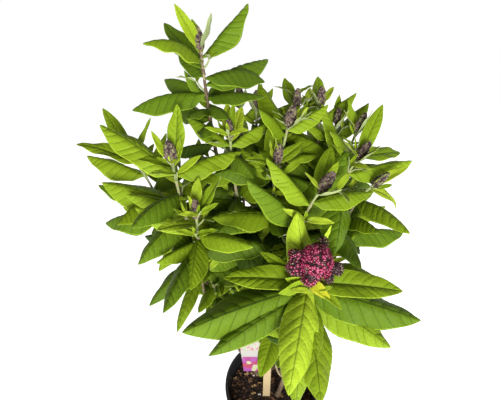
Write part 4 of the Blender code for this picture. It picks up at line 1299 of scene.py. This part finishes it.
def dressSoil():
    # Moist potting soil: near-black peat, brown fibre, tan bark chips and a few white grains of perlite
    materials = [
        finish("peat_dark", "#21150e", 0.92, 1.0, 0.8),
        finish("peat_brown", "#3a2618", 0.92, 1.0, 0.8),
        finish("bark_chip_brown", "#5e4128", 0.9, 0.8, 0.4),
        finish("bark_chip_tan", "#8c6f49", 0.88, 0.8, 0.4),
        finish("perlite_white", "#e6e2d8", 0.8, 0.7, 0.3),
    ]
    rng = random.Random(8)
    reach = potInner(soilTop) - 0.0008
    n = soilLook["segments"]
    angles = [2 * pi * k / n for k in range(n)]
    points = [np.array([0, 0, soilHeight(0, 0)])]
    for i in range(1, soilLook["rings"] + 1):
        r = reach * i / soilLook["rings"]
        points += [np.array([r * cos(a), r * sin(a), soilHeight(r * cos(a), r * sin(a))]) for a in angles]
    low = len(points)
    r = potInner(0.004) * 0.98
    points += [np.array([r * cos(a), r * sin(a), 0.0032]) for a in angles]
    faces = [(0, 1 + k, 1 + (k + 1) % n) for k in range(n)]
    faces += [(a, d, c, b) for a, b, c, d in ringFaces(1, soilLook["rings"] + 1, n)]
    faces.append(tuple(low + k for k in reversed(range(n))))
    parts = [(np.array(points), faces, [0 if rng.random() < 0.7 else 1 for _ in faces])]
    for i in range(soilLook["crumbs"] + soilLook["chips"]):
        chip = i >= soilLook["crumbs"]
        r = reach * 0.97 * rng.random() ** 0.5
        a = rng.uniform(0, 2 * pi)
        x, y = r * cos(a), r * sin(a)
        size = rng.uniform(*soilLook["chipSize" if chip else "crumbSize"])
        at = np.array([x, y, soilHeight(x, y) + size * 0.12])
        crumbPoints, crumbFaces = crumb(at, size, 0.14 if chip else 0.3, rng)
        tones = (2, 3, 4) if chip else (0, 1, 2)
        tone = rng.choices(tones, soilLook["chipTones" if chip else "crumbTones"])
        parts.append((crumbPoints, crumbFaces, tone * len(crumbFaces)))
    soil = joinedPiece("pottingSoil", parts, materials, smooth=False)
    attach(soil, "root")
    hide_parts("soil")
    print("soil", len(soil.data.polygons), "faces")


# Label

# Stops of each ramp as (place, colour). The bands run up the card, between two heights above its foot.
labelLook = {
    "dappleMm": 6,
    "dapples": ((0.38, "#879670"), (0.46, "#9a9d8d"), (0.53, "#a29e97"), (0.59, "#a07673"),
                (0.68, "#9a5256")),
    "bloomMm": 9,
    "blooms": ((0.0, "#852667"), (0.4, "#853c7e"), (0.65, "#8f314a"), (0.82, "#9d9d7a")),
    "bandFrom": 0.030,
    "bandTo": 0.070,
    "bands": ((0.18, "#000000"), (0.22, "#808080"), (0.55, "#808080"), (0.65, "#ffffff")),
    "white": "#98968f",
}


# Coated card, bare of words: soft pink and green dapples above, magenta blooms on white below.
def dressLabel():
    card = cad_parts["label_card"]
    low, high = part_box("label_card")
    material = bpy.data.materials.new("label_card_printed")
    material.use_nodes = True
    shader = material.node_tree.nodes["Principled BSDF"]
    shader.inputs["Roughness"].default_value = 0.32
    shader.inputs["IOR"].default_value = 1.5
    place = addNode(material, "ShaderNodeTexCoord", {})
    dapple = addNode(material, "ShaderNodeTexNoise", {"Scale": perMm(labelLook["dappleMm"]), "Detail": 2.0},
                     {"Vector": (place, "Object")})
    soft = addNode(material, "ShaderNodeValToRGB", {}, {"Fac": (dapple, "Fac")})
    setRamp(soft, labelLook["dapples"])
    blooms = addNode(material, "ShaderNodeTexVoronoi",
                     {"distance": "CHEBYCHEV", "Scale": perMm(labelLook["bloomMm"]), "Randomness": 0.7},
                     {"Vector": (place, "Object")})
    dealt = addNode(material, "ShaderNodeSeparateColor", {}, {"Color": (blooms, "Color")})
    petals = addNode(material, "ShaderNodeValToRGB", {}, {"Fac": (dealt, "Red")})
    petals.color_ramp.interpolation = "CONSTANT"
    setRamp(petals, labelLook["blooms"])
    height = addNode(material, "ShaderNodeSeparateXYZ", {}, {"Vector": (place, "Object")})
    heights = {"From Min": low[2] + labelLook["bandFrom"], "From Max": low[2] + labelLook["bandTo"]}
    band = addNode(material, "ShaderNodeMapRange", heights, {"Value": (height, "Z")})
    bands = addNode(material, "ShaderNodeValToRGB", {}, {"Fac": (band, "Result")})
    setRamp(bands, labelLook["bands"])
    # Blooms give way to white, and white to dapples
    lower, upper = (addNode(material, "ShaderNodeMapRange", {"From Min": start, "From Max": full},
                            {"Value": (bands, "Color")}) for start, full in ((0.0, 0.2), (0.3, 1.0)))
    white = addNode(material, "ShaderNodeMix", {"data_type": "RGBA", "B": toLinear(labelLook["white"])},
                    {"Factor": (lower, "Result"), "A": (petals, "Color")})
    mixed = addNode(material, "ShaderNodeMix", {"data_type": "RGBA"},
                    {"Factor": (upper, "Result"), "A": (white, "Result"), "B": (soft, "Color")})
    material.node_tree.links.new(mixed.outputs["Result"], shader.inputs["Base Color"])
    setMaterial(card, material)
    # Raw poplar stick: pale, with long fine grain
    poplar = finish("poplar_raw", "#a8946f", 0.7, 0.9, 0.12, stretch=(1, 1, 0.06))
    setMaterial(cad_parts["label_stick"], poplar)
    print("label", round(1000 * (high[2] - low[2])), "mm high")


def setRamp(node, stops):
    ramp = node.color_ramp
    while len(ramp.elements) > 1:
        ramp.elements.remove(ramp.elements[-1])
    for i, (place, colour) in enumerate(stops):
        stop = ramp.elements[0] if i == 0 else ramp.elements.new(place)
        stop.position = place
        stop.color = toLinear(colour)


def setMaterial(thing, material):
    thing.data.materials.clear()
    thing.data.materials.append(material)


# Stage, light and camera

stage = {
    "floorRadius": 2.2,
    "floorSides": 64,
    "floor": "#fbfbfa",
    "floorGlow": 0.62,
    "horizon": 1.0,
    "zenith": 0.3,
    "dimFrom": 0.4,
    "aim": (0.0, 0.02, 0.42),
    "key": {"power": 80.0, "place": (0.2, -2.1, 1.0), "size": 0.8},
    "fill": {"power": 9.0, "place": (1.3, 1.6, 1.9), "size": 1.2},
}


def makeStage():
    mesh = bpy.data.meshes.new("studioFloor")
    n = stage["floorSides"]
    reach = stage["floorRadius"]
    ring = [(reach * cos(2 * pi * k / n), reach * sin(2 * pi * k / n), 0) for k in range(n)]
    mesh.from_pydata(ring, [], [tuple(range(n))])
    floor = bpy.data.objects.new("studioFloor", mesh)
    scene.collection.objects.link(floor)
    floor.data.materials.append(finish("studio_paper_white", stage["floor"], 0.9, 2.0, 0.02,
                                       Emission_Strength=stage["floorGlow"]))
    world = bpy.data.worlds.new("softbox")
    world.use_nodes = True
    # White all round and dimmer overhead, so the light comes from the front
    place = addNode(world, "ShaderNodeTexCoord", {})
    height = addNode(world, "ShaderNodeSeparateXYZ", {}, {"Vector": (place, "Generated")})
    glow = addNode(world, "ShaderNodeMapRange",
                   {"From Max": stage["dimFrom"], "To Min": stage["horizon"], "To Max": stage["zenith"]},
                   {"Value": (height, "Z")})
    background = world.node_tree.nodes["Background"]
    background.inputs["Color"].default_value = (1, 1, 1, 1)
    world.node_tree.links.new(glow.outputs["Result"], background.inputs["Strength"])
    scene.world = world
    scene.view_settings.view_transform = "Standard"
    aim = Vector(stage["aim"])
    for name in ("key", "fill"):
        light = bpy.data.lights.new(name, "AREA")
        light.energy = stage[name]["power"]
        light.size = stage[name]["size"]
        lamp = bpy.data.objects.new(name, light)
        lamp.location = stage[name]["place"]
        lamp.rotation_euler = (aim - lamp.location).to_track_quat("-Z", "Y").to_euler()
        scene.collection.objects.link(lamp)
    print("stage with two lights")


# The photograph's own view, with the angle that the lens looks down
cameraLook = {"lens": 25, "sensor": 36, "down": 37, "place": (-0.0392, -0.3092, 0.7914), "nearest": 0.01}


def makeCamera():
    data = bpy.data.cameras.new("camera")
    data.lens = cameraLook["lens"]
    data.sensor_width = cameraLook["sensor"]
    data.clip_start = cameraLook["nearest"]
    camera = bpy.data.objects.new("camera", data)
    camera.location = cameraLook["place"]
    camera.rotation_euler = (radians(90 - cameraLook["down"]), 0, 0)
    scene.collection.objects.link(camera)
    scene.camera = camera
    print("camera looks", cameraLook["down"], "degrees down")


limbs = growLimbs()
leaves, sprays = growLeaves(limbs)
print(len(leaves), "leaves find room")
dressWood(limbs, sprays)
dressLeaves(leaves)
dressBuds(limbs)
dressFlower(limbs)
dressPot()
dressSoil()
dressLabel()
makeStage()
makeCamera()
